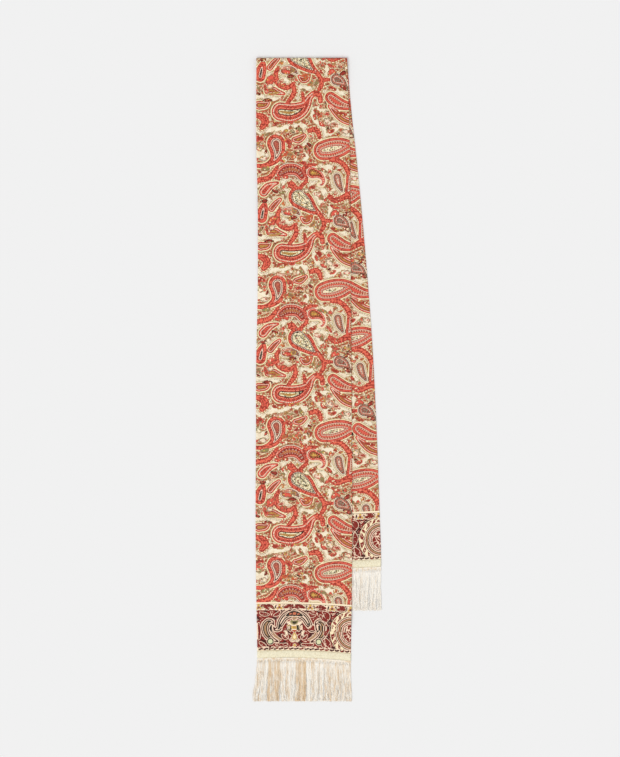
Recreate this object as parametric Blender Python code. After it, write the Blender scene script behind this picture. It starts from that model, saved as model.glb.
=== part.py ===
"""A fringed silk scarf: a printed silk tube, pressed flat, folded over once across its
length and laid on a surface, with the under flap swung out to the right.

The scarf lies in the XY plane with its fold at +Y and its fringes at -Y. Places are
first worked out as `down`, the distance below the fold, and `across`, the distance
from the fold's left end, and then moved so that the floor under the scarf's middle is
the origin.
"""

import math

import bmesh
import bpy
from mathutils import Vector

MM = 0.001

# The pressed tube. Its two layers share one wall, with a groove along the seam.
CLOTH_THICK = 1.2 * MM
FRONT_LENGTH = 784.0 * MM
BACK_LENGTH = 664.5 * MM
SEAM_GROOVE = 0.5 * MM
EDGE_ROUND = 0.9 * MM

# The fold over the top, as a soft roll that the flaps run down from.
FOLD_INSIDE = 0.9 * MM
FOLD_RUN_DOWN = 46.0 * MM
FOLD_STEPS = 7

# The hem bands and the fringes that are sewn into them.
SEAM_GAP = 0.3 * MM
BAND_DEPTH = 9.3 * MM
BAND_THICK = 1.4 * MM
BAND_ROUND = 0.35 * MM
BAND_STATIONS = 16
HEADING_DEPTH = 2.4 * MM
HEADING_LOW = 0.15 * MM
HEADING_THICK = 0.95 * MM
STRANDS = 92
STRAND_LENGTH = 53.0 * MM
STRAND_WIDTH = 0.80 * MM
STRAND_THICK = 0.60 * MM
STRAND_HEIGHT = 0.62 * MM
STRAND_SHARES = (0.12, 0.42, 0.74, 1.0)

# How the front flap bridges what it lies on, and comes down to the floor beside it.
REST_GAP = 0.35 * MM
BRIDGE = 6.8 * MM
COME_DOWN = 15.0 * MM

# Rows down the cloth, and columns across it.
ROW_STEP = 21.0 * MM
FINE_ROW_STEP = 6.0 * MM
COLUMNS = 20

# The outline of each flap, in millimetres: how far below the fold, where the left and
# right edges are across, and how much the weft rises to the right there.
FRONT_ROWS = (
    # down, left, right, rise
    (0.0, 0.6, 120.1, 0.0),
    (110.0, 0.4, 123.7, 0.0),
    (190.0, 2.3, 124.6, 0.0),
    (310.0, 2.3, 125.2, 0.0),
    (400.0, 0.3, 125.8, 0.0),
    (500.0, 0.0, 126.4, -0.006),
    (610.0, -0.5, 126.9, -0.016),
    (700.0, 0.3, 126.4, -0.024),
    (784.0, 1.8, 125.2, -0.029),
    (850.0, 2.6, 124.4, -0.029),
)
BACK_ROWS = (
    # down, left, right, rise
    (0.0, 0.6, 120.1, 0.0),
    (70.0, 2.4, 125.6, 0.045),
    (150.0, 8.7, 133.9, 0.085),
    (250.0, 17.6, 143.2, 0.088),
    (370.0, 27.0, 152.7, 0.068),
    (490.0, 33.3, 159.0, 0.050),
    (610.0, 37.5, 163.3, 0.048),
    (664.5, 39.4, 165.0, 0.052),
    (730.0, 40.2, 164.6, 0.052),
)

# The front end hangs in a shallow arch between its two corners.
ARCH_HEIGHT = 2.3 * MM
ARCH_STARTS = 560.0 * MM

# Soft ridges where the upper layer lifts off the lower one, in millimetres: the middle
# of each, its half length and half width, how far it turns from straight down, and how
# high it rises.
RIDGES = (
    # down, across, half length, half width, turn, height
    (62.0, 34.0, 52.0, 13.0, 14.0, 0.55),
    (96.0, 92.0, 64.0, 12.0, -9.0, 0.50),
    (188.0, 60.0, 78.0, 15.0, -17.0, 0.60),
    (262.0, 104.0, 60.0, 11.0, 7.0, 0.50),
    (318.0, 30.0, 84.0, 14.0, 10.0, 0.60),
    (404.0, 82.0, 76.0, 14.0, -12.0, 0.65),
    (476.0, 24.0, 66.0, 12.0, -8.0, 0.45),
    (548.0, 98.0, 72.0, 12.0, 15.0, 0.55),
    (612.0, 52.0, 80.0, 15.0, 6.0, 0.60),
    (704.0, 96.0, 54.0, 12.0, -10.0, 0.45),
    (722.0, 28.0, 48.0, 11.0, 12.0, 0.45),
)

# How the strands gather into locks: the width of one lock, how far its strands lean
# together at their tips, and where along the fringe the locks begin.
LOCKS = (
    # width, lean, shift
    (15.0, 0.44, 2.0),
    (34.0, 0.62, 11.0),
)
FRONT_FLARE = 4.6 * MM
FLARE_REACH = 24.0 * MM

SILK = ("silk_print", (0.78, 0.32, 0.25, 1.0), 0.5)
BAND = ("hem_band", (0.91, 0.86, 0.70, 1.0), 0.6)
FRINGE = ("fringe_yarn", (0.86, 0.78, 0.66, 1.0), 0.45)


def ease(share):
    """A smooth step from 0 to 1."""
    share = min(1.0, max(0.0, share))
    return share * share * (3.0 - 2.0 * share)


def along_table(rows, column, down):
    """A column of an outline table at this distance below the fold, as a smooth curve
    through the rows."""
    down /= MM
    rows_down = [row[0] for row in rows]
    values = [row[column] for row in rows]
    last = len(rows) - 1
    at = 0
    while at < last - 1 and down > rows_down[at + 1]:
        at += 1

    def slope(index):
        before, after = max(index - 1, 0), min(index + 1, last)
        return (values[after] - values[before]) / (rows_down[after] - rows_down[before])

    span = rows_down[at + 1] - rows_down[at]
    share = (down - rows_down[at]) / span
    bend_in = share * share * (3.0 - 2.0 * share)
    leave = share * (share - 1.0) ** 2
    arrive = share * share * (share - 1.0)
    return (
        values[at] * (1.0 - bend_in)
        + values[at + 1] * bend_in
        + span * (slope(at) * leave + slope(at + 1) * arrive)
    )


def edges(rows, down):
    """Where a flap's left and right edges are, in metres across."""
    return along_table(rows, 1, down) * MM, along_table(rows, 2, down) * MM


def lowered(rows, down, across):
    """How far below the fold a point of this weft line really is, because the weft
    tilts and the front end arches."""
    left, right = edges(rows, down)
    middle, half = (left + right) / 2, (right - left) / 2
    rise = along_table(rows, 3, down) * (across - middle)
    if rows is FRONT_ROWS:
        share = ease((down - ARCH_STARTS) / (FRONT_LENGTH - ARCH_STARTS))
        rise += ARCH_HEIGHT * share * (1.0 - ((across - middle) / half) ** 2)
    return down - rise


def back_reach():
    """How far below the fold the under flap's fringe ends."""
    end = BACK_LENGTH + 2 * SEAM_GAP + BAND_DEPTH + HEADING_DEPTH + STRAND_LENGTH
    left, _ = edges(BACK_ROWS, end)
    return lowered(BACK_ROWS, end, left)


def support(down, across):
    """The height of the front flap's underside: over the under flap it rests on that,
    beside and below it the cloth comes down to the floor."""
    resting = BAND_THICK + REST_GAP
    rolled = CLOTH_THICK + 2 * FOLD_INSIDE
    back_left, _ = edges(BACK_ROWS, min(down, BACK_LENGTH))
    beside = max(0.0, back_left - across)
    below = max(0.0, down - back_reach())
    away = math.hypot(beside, below)
    covered = 1.0 - ease((away - BRIDGE) / COME_DOWN)
    near_fold = 1.0 - ease(down / FOLD_RUN_DOWN)
    return resting * covered + (rolled - resting) * near_fold


def ridges(down, across):
    """How far the upper layer lifts off the lower one."""
    lift = 0.0
    for middle_down, middle_across, long, wide, turn, height in RIDGES:
        off_down, off_across = down / MM - middle_down, across / MM - middle_across
        angle = math.radians(turn)
        along = off_down * math.cos(angle) + off_across * math.sin(angle)
        beside = off_across * math.cos(angle) - off_down * math.sin(angle)
        lift += height * math.exp(-((along / long) ** 2) - (beside / wide) ** 2)
    left, right = edges(FRONT_ROWS, down)
    inward = min(across - left, right - across)
    return lift * MM * ease(inward / (9.0 * MM))


def upper_outline():
    """The upper half of the tube's section as (side, inset, height): the seam side's
    rounded layer, the face in even columns, and the fold side's rounded edge. Heights
    are shares of the thickness, and the lower half mirrors it."""
    seam = [("left", 0.0, 0.70), ("left", 0.2 * MM, 0.90)]
    face = [("share", step / COLUMNS, 1.0) for step in range(COLUMNS + 1)]
    fold = [("right", 0.3 * EDGE_ROUND, 0.84)]
    return seam + face + fold


def section_points(left, right):
    """(across, height share) of every point round the tube's section, from the seam's
    groove over the face to the fold and back."""
    upper = []
    for side, value, height in upper_outline():
        if side == "left":
            upper.append((left + value, height))
        elif side == "right":
            upper.append((right - value, height))
        else:
            inner_left, inner_right = left + EDGE_ROUND, right - EDGE_ROUND
            upper.append((inner_left + (inner_right - inner_left) * value, height))
    lower = [(across, 1.0 - height) for across, height in reversed(upper)]
    return [(left + SEAM_GROOVE, 0.5)] + upper + [(right, 0.5)] + lower


def front_ring(down):
    ring = []
    left, right = edges(FRONT_ROWS, down)
    for across, height in section_points(left, right):
        low = support(down, across)
        thick = CLOTH_THICK + ridges(down, across) * ease((height - 0.5) * 2)
        ring.append(
            Vector((across, -lowered(FRONT_ROWS, down, across), low + height * thick))
        )
    return ring


def back_ring(down):
    """The under flap is turned over, so its upper face rests on the floor."""
    ring = []
    left, right = edges(BACK_ROWS, down)
    for across, height in section_points(left, right):
        up = (1.0 - height) * CLOTH_THICK
        ring.append(Vector((across, -lowered(BACK_ROWS, down, across), up)))
    return ring


def fold_ring(turn):
    """The tube's section as it turns over the fold, from 0 on top to pi underneath."""
    ring = []
    axis_down = axis_up = FOLD_INSIDE + CLOTH_THICK
    left, right = edges(FRONT_ROWS, 0.0)
    for across, height in section_points(left, right):
        radius = FOLD_INSIDE + height * CLOTH_THICK
        down = axis_down - radius * math.sin(turn)
        ring.append(Vector((across, -down, axis_up + radius * math.cos(turn))))
    return ring


def row_places(start, end, step):
    """Evenly spaced places from start to end, both included."""
    count = max(1, round(abs(end - start) / step))
    return [start + (end - start) * index / count for index in range(count + 1)]


def close_faces(rings):
    """Faces that join the rings one after the other, with a cap at each end. A ring
    begins at the seam's groove, and its two halves mirror each other."""
    around = len(rings[0])
    faces = []
    for row in range(len(rings) - 1):
        here, there = row * around, (row + 1) * around
        for point in range(around):
            after = (point + 1) % around
            faces.append((here + point, here + after, there + after, there + point))
    for first, turned in ((0, False), ((len(rings) - 1) * around, True)):
        for point in range(around // 2):
            before, below = first + point, first + (around - point) % around
            after, under = first + point + 1, first + around - point - 1
            corners = [below, under, after, before]
            face = [c for i, c in enumerate(corners) if c not in corners[:i]]
            faces.append(tuple(reversed(face)) if turned else tuple(face))
    return faces


def add_piece(name, points, faces, finish):
    """A named object whose mesh is triangles that point outwards."""
    mesh = bpy.data.meshes.new(name)
    mesh.from_pydata(points, [], faces)
    shape = bmesh.new()
    shape.from_mesh(mesh)
    bmesh.ops.triangulate(shape, faces=shape.faces[:], quad_method="SHORT_EDGE")
    bmesh.ops.recalc_face_normals(shape, faces=shape.faces[:])
    shape.to_mesh(mesh)
    shape.free()
    mesh.shade_smooth()
    mesh.set_sharp_from_angle(angle=math.radians(40))
    mesh.materials.append(material(*finish))
    piece = bpy.data.objects.new(name, mesh)
    bpy.context.scene.collection.objects.link(piece)
    return piece


def material(name, colour, roughness):
    """One Principled finish, made once and shared."""
    made = bpy.data.materials.get(name)
    if made is None:
        made = bpy.data.materials.new(name)
        made.use_nodes = True
        shader = made.node_tree.nodes["Principled BSDF"]
        shader.inputs["Base Color"].default_value = colour
        shader.inputs["Roughness"].default_value = roughness
        shader.inputs["Metallic"].default_value = 0.0
    return made


def silk_tube():
    """The printed cloth, from the front end over the fold to the back end."""
    axis_down = FOLD_INSIDE + CLOTH_THICK
    lands = back_reach() + BRIDGE + COME_DOWN
    starts = back_reach() + BRIDGE - FINE_ROW_STEP
    front = row_places(FRONT_LENGTH, lands, FINE_ROW_STEP)
    front += row_places(lands, starts, FINE_ROW_STEP)[1:]
    front += row_places(starts, FOLD_RUN_DOWN, ROW_STEP)[1:]
    front += row_places(FOLD_RUN_DOWN, axis_down, ROW_STEP / 2)[1:]
    back = row_places(axis_down, BACK_LENGTH, ROW_STEP)
    turns = [math.pi * step / FOLD_STEPS for step in range(1, FOLD_STEPS)]
    rings = [front_ring(down) for down in front]
    rings += [fold_ring(turn) for turn in turns]
    rings += [back_ring(down) for down in back]
    points = [point for ring in rings for point in ring]
    return add_piece("silk_tube", points, close_faces(rings), SILK)


def band(name, rows, length):
    """A hem band: a strip with rounded edges across the end of the cloth."""
    near, far = length + SEAM_GAP, length + SEAM_GAP + BAND_DEPTH
    top, curve = BAND_THICK, BAND_ROUND
    outline = (
        (near, 0.5 * top),
        (near, top - curve),
        (near + curve, top),
        (near + 0.5 * BAND_DEPTH, top),
        (far - curve, top),
        (far, top - curve),
        (far, 0.5 * top),
        (far, curve),
        (far - curve, 0.0),
        (near + 0.5 * BAND_DEPTH, 0.0),
        (near + curve, 0.0),
        (near, curve),
    )
    rings = []
    for station in range(BAND_STATIONS + 1):
        ring = []
        for down, up in outline:
            left, right = edges(rows, length)
            across = left + (right - left) * station / BAND_STATIONS
            ring.append(Vector((across, -lowered(rows, down, across), up)))
        rings.append(ring)
    points = [point for ring in rings for point in ring]
    return add_piece(name, points, close_faces(rings), BAND)


def lock_lean(across):
    """How far a strand that starts here leans sideways at its tip."""
    lean = 0.0
    for width, amount, shift in LOCKS:
        lean += amount * math.sin(2 * math.pi * (across / MM - shift) / width)
    return lean * MM


def strand_rings(index, across, start, low_middle, flare):
    """The rings of one strand, from its root outwards: each is its four corners."""
    uneven = 0.5 + 0.5 * math.sin(index * 2.4)
    length = STRAND_LENGTH * (0.965 + 0.035 * uneven)
    lean = lock_lean(across) - flare
    rings = []
    for share in STRAND_SHARES:
        wander = 0.12 * MM * math.sin(3.0 * share + index * 1.3) * share
        middle = across + lean * share**1.4 + wander
        up = low_middle + (STRAND_HEIGHT - low_middle) * ease(share * 1.6)
        half_wide = STRAND_WIDTH * (0.5 - 0.12 * share)
        half_high = STRAND_THICK * (0.5 - 0.10 * share)
        down = start + length * share
        rings.append(
            [
                (middle - half_wide, down, up - half_high),
                (middle + half_wide, down, up - half_high),
                (middle + half_wide, down, up + half_high),
                (middle - half_wide, down, up + half_high),
            ]
        )
    return rings


def fringe(name, rows, length, flare):
    """A fringe: strands that grow out of a narrow heading strip."""
    near = length + BAND_DEPTH + 2 * SEAM_GAP
    far = near + HEADING_DEPTH
    left, right = edges(rows, length)
    pitch = (right - left) / (STRANDS + 0.5)
    low, high = HEADING_LOW, HEADING_LOW + HEADING_THICK
    gap = pitch - STRAND_WIDTH
    columns = [left]
    for index in range(STRANDS):
        root = left + gap + index * pitch
        columns += [root, root + STRAND_WIDTH]
    columns.append(right)

    points, faces = [], []

    def add(across, down, up):
        points.append(Vector((across, -lowered(rows, down, across), up)))
        return len(points) - 1

    strip = [
        (
            add(across, near, low),
            add(across, near, high),
            add(across, far, high),
            add(across, far, low),
        )
        for across in columns
    ]
    faces.append((strip[0][0], strip[0][1], strip[0][2], strip[0][3]))
    faces.append(tuple(reversed(strip[-1])))
    for column in range(len(strip) - 1):
        here, there = strip[column], strip[column + 1]
        faces.append((here[0], there[0], there[1], here[1]))
        faces.append((here[1], there[1], there[2], here[2]))
        faces.append((here[3], there[3], there[0], here[0]))
        if column % 2 == 0:
            faces.append((here[2], there[2], there[3], here[3]))
            continue
        ring = [here[3], there[3], there[2], here[2]]
        root = columns[column] + STRAND_WIDTH / 2
        near_left = 1.0 - ease((root - left) / FLARE_REACH)
        index = column // 2
        for corners in strand_rings(
            index, root, far, (low + high) / 2, flare * near_left
        ):
            outer = [add(*corner) for corner in corners]
            for side in range(4):
                after = (side + 1) % 4
                faces.append((ring[side], ring[after], outer[after], outer[side]))
            ring = outer
        faces.append(tuple(ring))
    return add_piece(name, points, faces, FRINGE)


def stand_on_origin(pieces):
    """Moves the scarf so that its box is centred on the origin, on the floor."""
    corners = [corner.co for piece in pieces for corner in piece.data.vertices]
    low = [min(corner[axis] for corner in corners) for axis in range(3)]
    high = [max(corner[axis] for corner in corners) for axis in range(3)]
    middle = Vector(((low[0] + high[0]) / 2, (low[1] + high[1]) / 2, low[2]))
    for piece in pieces:
        for corner in piece.data.vertices:
            corner.co -= middle


def main():
    for old in list(bpy.data.objects):
        bpy.data.objects.remove(old)
    pieces = [
        silk_tube(),
        band("front_band", FRONT_ROWS, FRONT_LENGTH),
        band("back_band", BACK_ROWS, BACK_LENGTH),
        fringe("front_fringe", FRONT_ROWS, FRONT_LENGTH, FRONT_FLARE),
        fringe("back_fringe", BACK_ROWS, BACK_LENGTH, 0.0),
    ]
    stand_on_origin(pieces)


main()
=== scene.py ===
# %% [markdown]
# # A fringed silk scarf, laid flat
#
# The scarf is a long silk tube, printed with paisleys, pressed flat, folded over once
# and laid on a table. Each end has a maroon border, a plain hem band and a yarn fringe.
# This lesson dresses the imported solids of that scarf: it lays fine cloth on their form,
# prints it, adds the sewing and spins the fringe, all from the same sizes.

import math
from functools import partialmethod
from types import SimpleNamespace

import bpy
import numpy as np
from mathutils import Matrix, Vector


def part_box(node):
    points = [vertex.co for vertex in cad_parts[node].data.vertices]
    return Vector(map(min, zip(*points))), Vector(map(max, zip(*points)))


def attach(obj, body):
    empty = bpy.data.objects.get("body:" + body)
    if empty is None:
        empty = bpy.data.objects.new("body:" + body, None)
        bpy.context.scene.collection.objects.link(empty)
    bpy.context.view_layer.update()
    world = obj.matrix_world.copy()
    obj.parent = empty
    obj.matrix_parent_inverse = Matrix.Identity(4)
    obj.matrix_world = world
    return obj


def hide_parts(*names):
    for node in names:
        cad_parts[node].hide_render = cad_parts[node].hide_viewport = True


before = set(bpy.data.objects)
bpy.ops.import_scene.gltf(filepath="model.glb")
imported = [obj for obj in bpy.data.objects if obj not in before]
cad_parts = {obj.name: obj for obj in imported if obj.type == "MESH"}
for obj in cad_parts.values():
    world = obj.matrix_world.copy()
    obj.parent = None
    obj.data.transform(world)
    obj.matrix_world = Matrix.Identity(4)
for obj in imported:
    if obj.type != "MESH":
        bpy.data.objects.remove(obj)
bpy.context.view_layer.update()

# %% [markdown]
# ## Sizes
#
# The solids were worked out from a few sizes, and the fine cloth has to lie on the same
# form, so those sizes are repeated here. `down` is the distance below the fold and
# `across` the distance from the fold's left end, and the frame tells where the fold is.

# %% Sizes shared with the solids
MM = 0.001
CLOTH_THICK = 1.2 * MM
FRONT_LENGTH = 784.0 * MM
BACK_LENGTH = 664.5 * MM
FOLD_INSIDE = 0.9 * MM
FOLD_RUN_DOWN = 46.0 * MM
FOLD_STEPS = 7
SEAM_GAP = 0.3 * MM
BAND_DEPTH = 9.3 * MM
BAND_THICK = 1.4 * MM
HEADING_DEPTH = 2.4 * MM
STRAND_LENGTH = 53.0 * MM
REST_GAP = 0.35 * MM
BRIDGE = 6.8 * MM
COME_DOWN = 15.0 * MM
ARCH_HEIGHT = 2.3 * MM
ARCH_STARTS = 560.0 * MM
FLARE_REACH = 24.0 * MM
RIDGE_FADE = 9.0 * MM

# Each flap's outline in millimetres: distance below the fold, left and right edge, and
# how much the weft rises to the right there.
FRONT_ROWS = (
    (0.0, 0.6, 120.1, 0.0),
    (110.0, 0.4, 123.7, 0.0),
    (190.0, 2.3, 124.6, 0.0),
    (310.0, 2.3, 125.2, 0.0),
    (400.0, 0.3, 125.8, 0.0),
    (500.0, 0.0, 126.4, -0.006),
    (610.0, -0.5, 126.9, -0.016),
    (700.0, 0.3, 126.4, -0.024),
    (784.0, 1.8, 125.2, -0.029),
    (850.0, 2.6, 124.4, -0.029),
)
BACK_ROWS = (
    (0.0, 0.6, 120.1, 0.0),
    (70.0, 2.4, 125.6, 0.045),
    (150.0, 8.7, 133.9, 0.085),
    (250.0, 17.6, 143.2, 0.088),
    (370.0, 27.0, 152.7, 0.068),
    (490.0, 33.3, 159.0, 0.05),
    (610.0, 37.5, 163.3, 0.048),
    (664.5, 39.4, 165.0, 0.052),
    (730.0, 40.2, 164.6, 0.052),
)
# Soft ridges in millimetres and degrees: middle down and across, half length, half
# width, turn from straight down, and height.
RIDGES = (
    (62.0, 34.0, 52.0, 13.0, 14.0, 0.55),
    (96.0, 92.0, 64.0, 12.0, -9.0, 0.5),
    (188.0, 60.0, 78.0, 15.0, -17.0, 0.6),
    (262.0, 104.0, 60.0, 11.0, 7.0, 0.5),
    (318.0, 30.0, 84.0, 14.0, 10.0, 0.6),
    (404.0, 82.0, 76.0, 14.0, -12.0, 0.65),
    (476.0, 24.0, 66.0, 12.0, -8.0, 0.45),
    (548.0, 98.0, 72.0, 12.0, 15.0, 0.55),
    (612.0, 52.0, 80.0, 15.0, 6.0, 0.6),
    (704.0, 96.0, 54.0, 12.0, -10.0, 0.45),
    (722.0, 28.0, 48.0, 11.0, 12.0, 0.45),
)

# The fold's highest point in the solid, which stands at the frame's +Y end.
fold_top = (FOLD_INSIDE + CLOTH_THICK) * (1 - math.sin(math.pi * 3 / FOLD_STEPS))
FRONT_END_ROW = 8
ORIGIN_ACROSS = FRONT_ROWS[FRONT_END_ROW][1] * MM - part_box("front_band")[0].x
ORIGIN_DOWN = fold_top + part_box("silk_tube")[1].y
print("origin across", round(ORIGIN_ACROSS * 1000, 2), "down", round(ORIGIN_DOWN * 1000, 2))


# %% The flaps' form
def ease(share):
    """A smooth step from 0 to 1."""
    share = np.clip(share, 0.0, 1.0)
    return share * share * (3.0 - 2.0 * share)


def along_table(rows, column, down):
    """A column of an outline table at these distances, as a smooth curve."""
    table = np.array(rows)
    places, values = table[:, 0], table[:, column]
    slopes = np.gradient(values, places)
    slopes[1:-1] = (values[2:] - values[:-2]) / (places[2:] - places[:-2])
    down = np.asarray(down) / MM
    at = np.clip(np.searchsorted(places, down) - 1, 0, len(places) - 2)
    span = places[at + 1] - places[at]
    share = (down - places[at]) / span
    bend_in = share * share * (3.0 - 2.0 * share)
    leave = share * (share - 1.0) ** 2
    arrive = share * share * (share - 1.0)
    straight = values[at] * (1.0 - bend_in) + values[at + 1] * bend_in
    return straight + span * (slopes[at] * leave + slopes[at + 1] * arrive)


def edges(rows, down):
    """Where a flap's left and right edges are, in metres across."""
    return along_table(rows, 1, down) * MM, along_table(rows, 2, down) * MM


def lowered(rows, down, across):
    """How far below the fold a point of this weft line really is."""
    left, right = edges(rows, down)
    middle, half = (left + right) / 2, (right - left) / 2
    rise = along_table(rows, 3, down) * (across - middle)
    if rows is FRONT_ROWS:
        share = ease((down - ARCH_STARTS) / (FRONT_LENGTH - ARCH_STARTS))
        rise = rise + ARCH_HEIGHT * share * (1.0 - ((across - middle) / half) ** 2)
    return down - rise


def back_reach():
    """How far below the fold the under flap's fringe ends."""
    end = BACK_LENGTH + 2 * SEAM_GAP + BAND_DEPTH + HEADING_DEPTH + STRAND_LENGTH
    left, _ = edges(BACK_ROWS, end)
    return lowered(BACK_ROWS, end, left)


def support(down, across):
    """The height of the front flap's underside."""
    resting = BAND_THICK + REST_GAP
    rolled = CLOTH_THICK + 2 * FOLD_INSIDE
    back_left, _ = edges(BACK_ROWS, np.minimum(down, BACK_LENGTH))
    beside = np.maximum(0.0, back_left - across)
    below = np.maximum(0.0, down - back_reach())
    covered = 1.0 - ease((np.hypot(beside, below) - BRIDGE) / COME_DOWN)
    near_fold = 1.0 - ease(down / FOLD_RUN_DOWN)
    return resting * covered + (rolled - resting) * near_fold


def ridges(down, across):
    """How far the upper layer lifts off the lower one."""
    lift = 0.0
    for middle_down, middle_across, long, wide, turn, height in RIDGES:
        off_down, off_across = down / MM - middle_down, across / MM - middle_across
        angle = math.radians(turn)
        along = off_down * math.cos(angle) + off_across * math.sin(angle)
        beside = off_across * math.cos(angle) - off_down * math.sin(angle)
        lift = lift + height * np.exp(-((along / long) ** 2) - (beside / wide) ** 2)
    left, right = edges(FRONT_ROWS, down)
    inward = np.minimum(across - left, right - across)
    return lift * MM * ease(inward / RIDGE_FADE)


def in_frame(across, down, up):
    """Points of the frame, from places on the laid scarf."""
    return np.stack(np.broadcast_arrays(across - ORIGIN_ACROSS, ORIGIN_DOWN - down, up), -1)


# %% [markdown]
# ## The print's layout
#
# A paisley is a fat drop with a curled tail. Drawn with outlines it takes many points,
# but a brush would do it with one stroke that is pressed hard at the start and lifted
# at the end. So each motif is a stroke: a few places along its spine with the brush's
# radius there. The distance from any point of the cloth to such a stroke is easy to
# work out, and the material later turns that distance into nested outlines, bands and
# rows of beads. The print repeats down the cloth, so one repeat is charted.

# %% The chart of one repeat
CLOTH_WIDE = 125.0
REPEAT = 186.0
BORDER = 63.0
VINE, RING, PALE, BEADED, ROSE, SNAIL, CRESCENT, LEAF, TEAR = range(9)

# Each motif is its scheme and its spine: across from the seam edge, up the cloth, and
# the stroke's radius there, in millimetres.
MOTIFS = (
    (PALE, ((55, 4.5, 13.5), (64, -2.5, 11.4), (73, -10.5, 6.9), (81, -16, 3.2))),
    (VINE, ((81, -15, 2.9), (87.5, -24, 3), (89.5, -33, 2.9), (86, -39.5, 2.5))),
    (VINE, ((89, -26.5, 2.5), (94, -27, 2.5), (99.5, -27, 1.8))),
    (RING, (
        (32.5, 117, 11.8), (45.5, 115.5, 12.2), (58.5, 119, 10), (67.5, 126, 6.4), (72.5, 135.5, 4.2),
        (79.5, 141, 3.3), (86.5, 137.5, 2.8), (87, 130.5, 2.4),
    )),
    (VINE, ((67, 125.5, 3.4), (64, 134.5, 2.4), (63, 140.5, 2))),
    (VINE, ((75.5, 139, 3.4), (80, 141, 3.7), (86, 138.2, 3.3), (87.6, 131, 2.8))),
    (VINE, (
        (29, 173.5, 2.1), (26, 166.5, 3), (27.5, 157, 3.6), (34.5, 150.5, 3.4), (43.5, 149, 2.9),
        (50.5, 154, 2.1),
    )),
    (VINE, ((51, 151, 2.4), (51.5, 143, 3), (47.5, 135.5, 2.9), (42.5, 129.5, 2.1))),
    (LEAF, ((18, 175, 4), (23.5, 181.5, 3.7), (29.5, 187, 2.6))),
    (TEAR, ((4.5, 163.5, 6.9), (6.5, 173, 6.3), (8.5, 180, 3.4))),
    (ROSE, ((37.5, 171, 5.7), (44, 172.5, 5.9), (52, 171, 4), (56, 167, 2.1))),
    (LEAF, ((59, 163, 2.4), (64, 159, 4.2), (69, 160.5, 4), (72.5, 165.5, 2.2))),
    (LEAF, ((14.5, 144, 4), (21.5, 145, 4.8), (29, 142.5, 3.4), (37.5, 140.5, 1.7))),
    (VINE, ((17.5, 152, 3.2), (21.5, 158.5, 2.1))),
    (BEADED, ((101.5, 135.5, 7.4), (108.5, 130, 8.2), (118, 126, 6.6), (128.5, 124, 4.8))),
    (LEAF, ((99.5, 124, 2.1), (107.5, 115.5, 4), (116.5, 107.5, 4.5), (130, 101.5, 4))),
    (ROSE, ((110.5, 159.5, 9), (117, 156.5, 6.9), (122.5, 151, 3.4), (124.5, 145, 1.8))),
    (LEAF, ((3, 125.5, 5.5), (11, 126, 4.5), (15, 128.5, 2.6))),
    (VINE, ((1, 112, 3.4), (8.5, 109, 4.8), (11.5, 103, 5), (7, 96.5, 3.4))),
    (TEAR, (
        (26, 75, 11.9), (27.5, 66, 10), (25, 56, 6.5), (17.5, 49, 3.8), (8.5, 45.5, 2.8),
        (0.5, 45.5, 2.4),
    )),
    (LEAF, ((51, 80, 3.4), (57, 80.5, 4.8), (64, 85, 3.2))),
    (VINE, ((71.5, 92, 2.9), (79, 93.5, 3.4), (83.5, 89, 3.2), (85, 83, 2.4))),
    (VINE, ((40.5, 80, 2.1), (44.5, 77, 2.6), (44, 70.5, 2.1))),
    (BEADED, (
        (89, 65.5, 12.1), (99.5, 67.5, 13.7), (111.5, 70, 12.4), (122, 71.5, 8.6), (132.5, 69.5, 5.3),
    )),
    (VINE, ((100.5, 53.5, 2.9), (110.5, 52, 3), (119, 45, 3.3), (124, 35.5, 3.2), (125, 27.5, 2.9))),
    (VINE, ((27, 44, 2.1), (22, 36.5, 2.9), (14.5, 29.5, 3.2), (1.5, 26.5, 3.4))),
    (CRESCENT, (
        (31.5, 35.5, 5.5), (38.5, 40, 6.5), (47.5, 41, 6.6), (55, 38.5, 6.1), (60.5, 31.5, 4.8),
    )),
    (SNAIL, (
        (74.5, 36.5, 8.2), (81.5, 35, 6.2), (87.5, 30.5, 4), (89.4, 25, 2.8), (87.2, 20.6, 2.1),
        (83.2, 20.6, 1.5),
    )),
    (VINE, (
        (78.5, 47, 1.6), (69, 45.5, 2.9), (62.5, 41.5, 2.4), (65, 33, 2), (65.5, 25, 2.4),
        (58.5, 18.5, 2.1),
    )),
    (VINE, ((45.5, 20.5, 4.8), (52, 17, 2.1))),
    (RING, ((7.5, 11, 5.8), (13, 17, 5.3), (20, 21, 3.4), (27, 23, 1.7))),
    (ROSE, ((108, 30.5, 6.1), (110, 22, 5.5), (114.5, 13, 2.9))),
    (BEADED, ((126, 30.5, 5.3), (126.5, 21, 6.6), (123, 12, 4.2))),
    (VINE, ((97.5, 4.5, 3.2), (104.5, 0.5, 3.8), (112.5, 2, 3.4), (120.5, 5.5, 4), (130, 4.5, 4.2))),
)

# %% The distance to a stroke
DISC_STEP = 0.9
FIELD_MARGIN = 9.0
# How far the beads' count runs round a stroke's blunt head, for each millimetre of arc.
HEAD_RUN = 0.72


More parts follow.
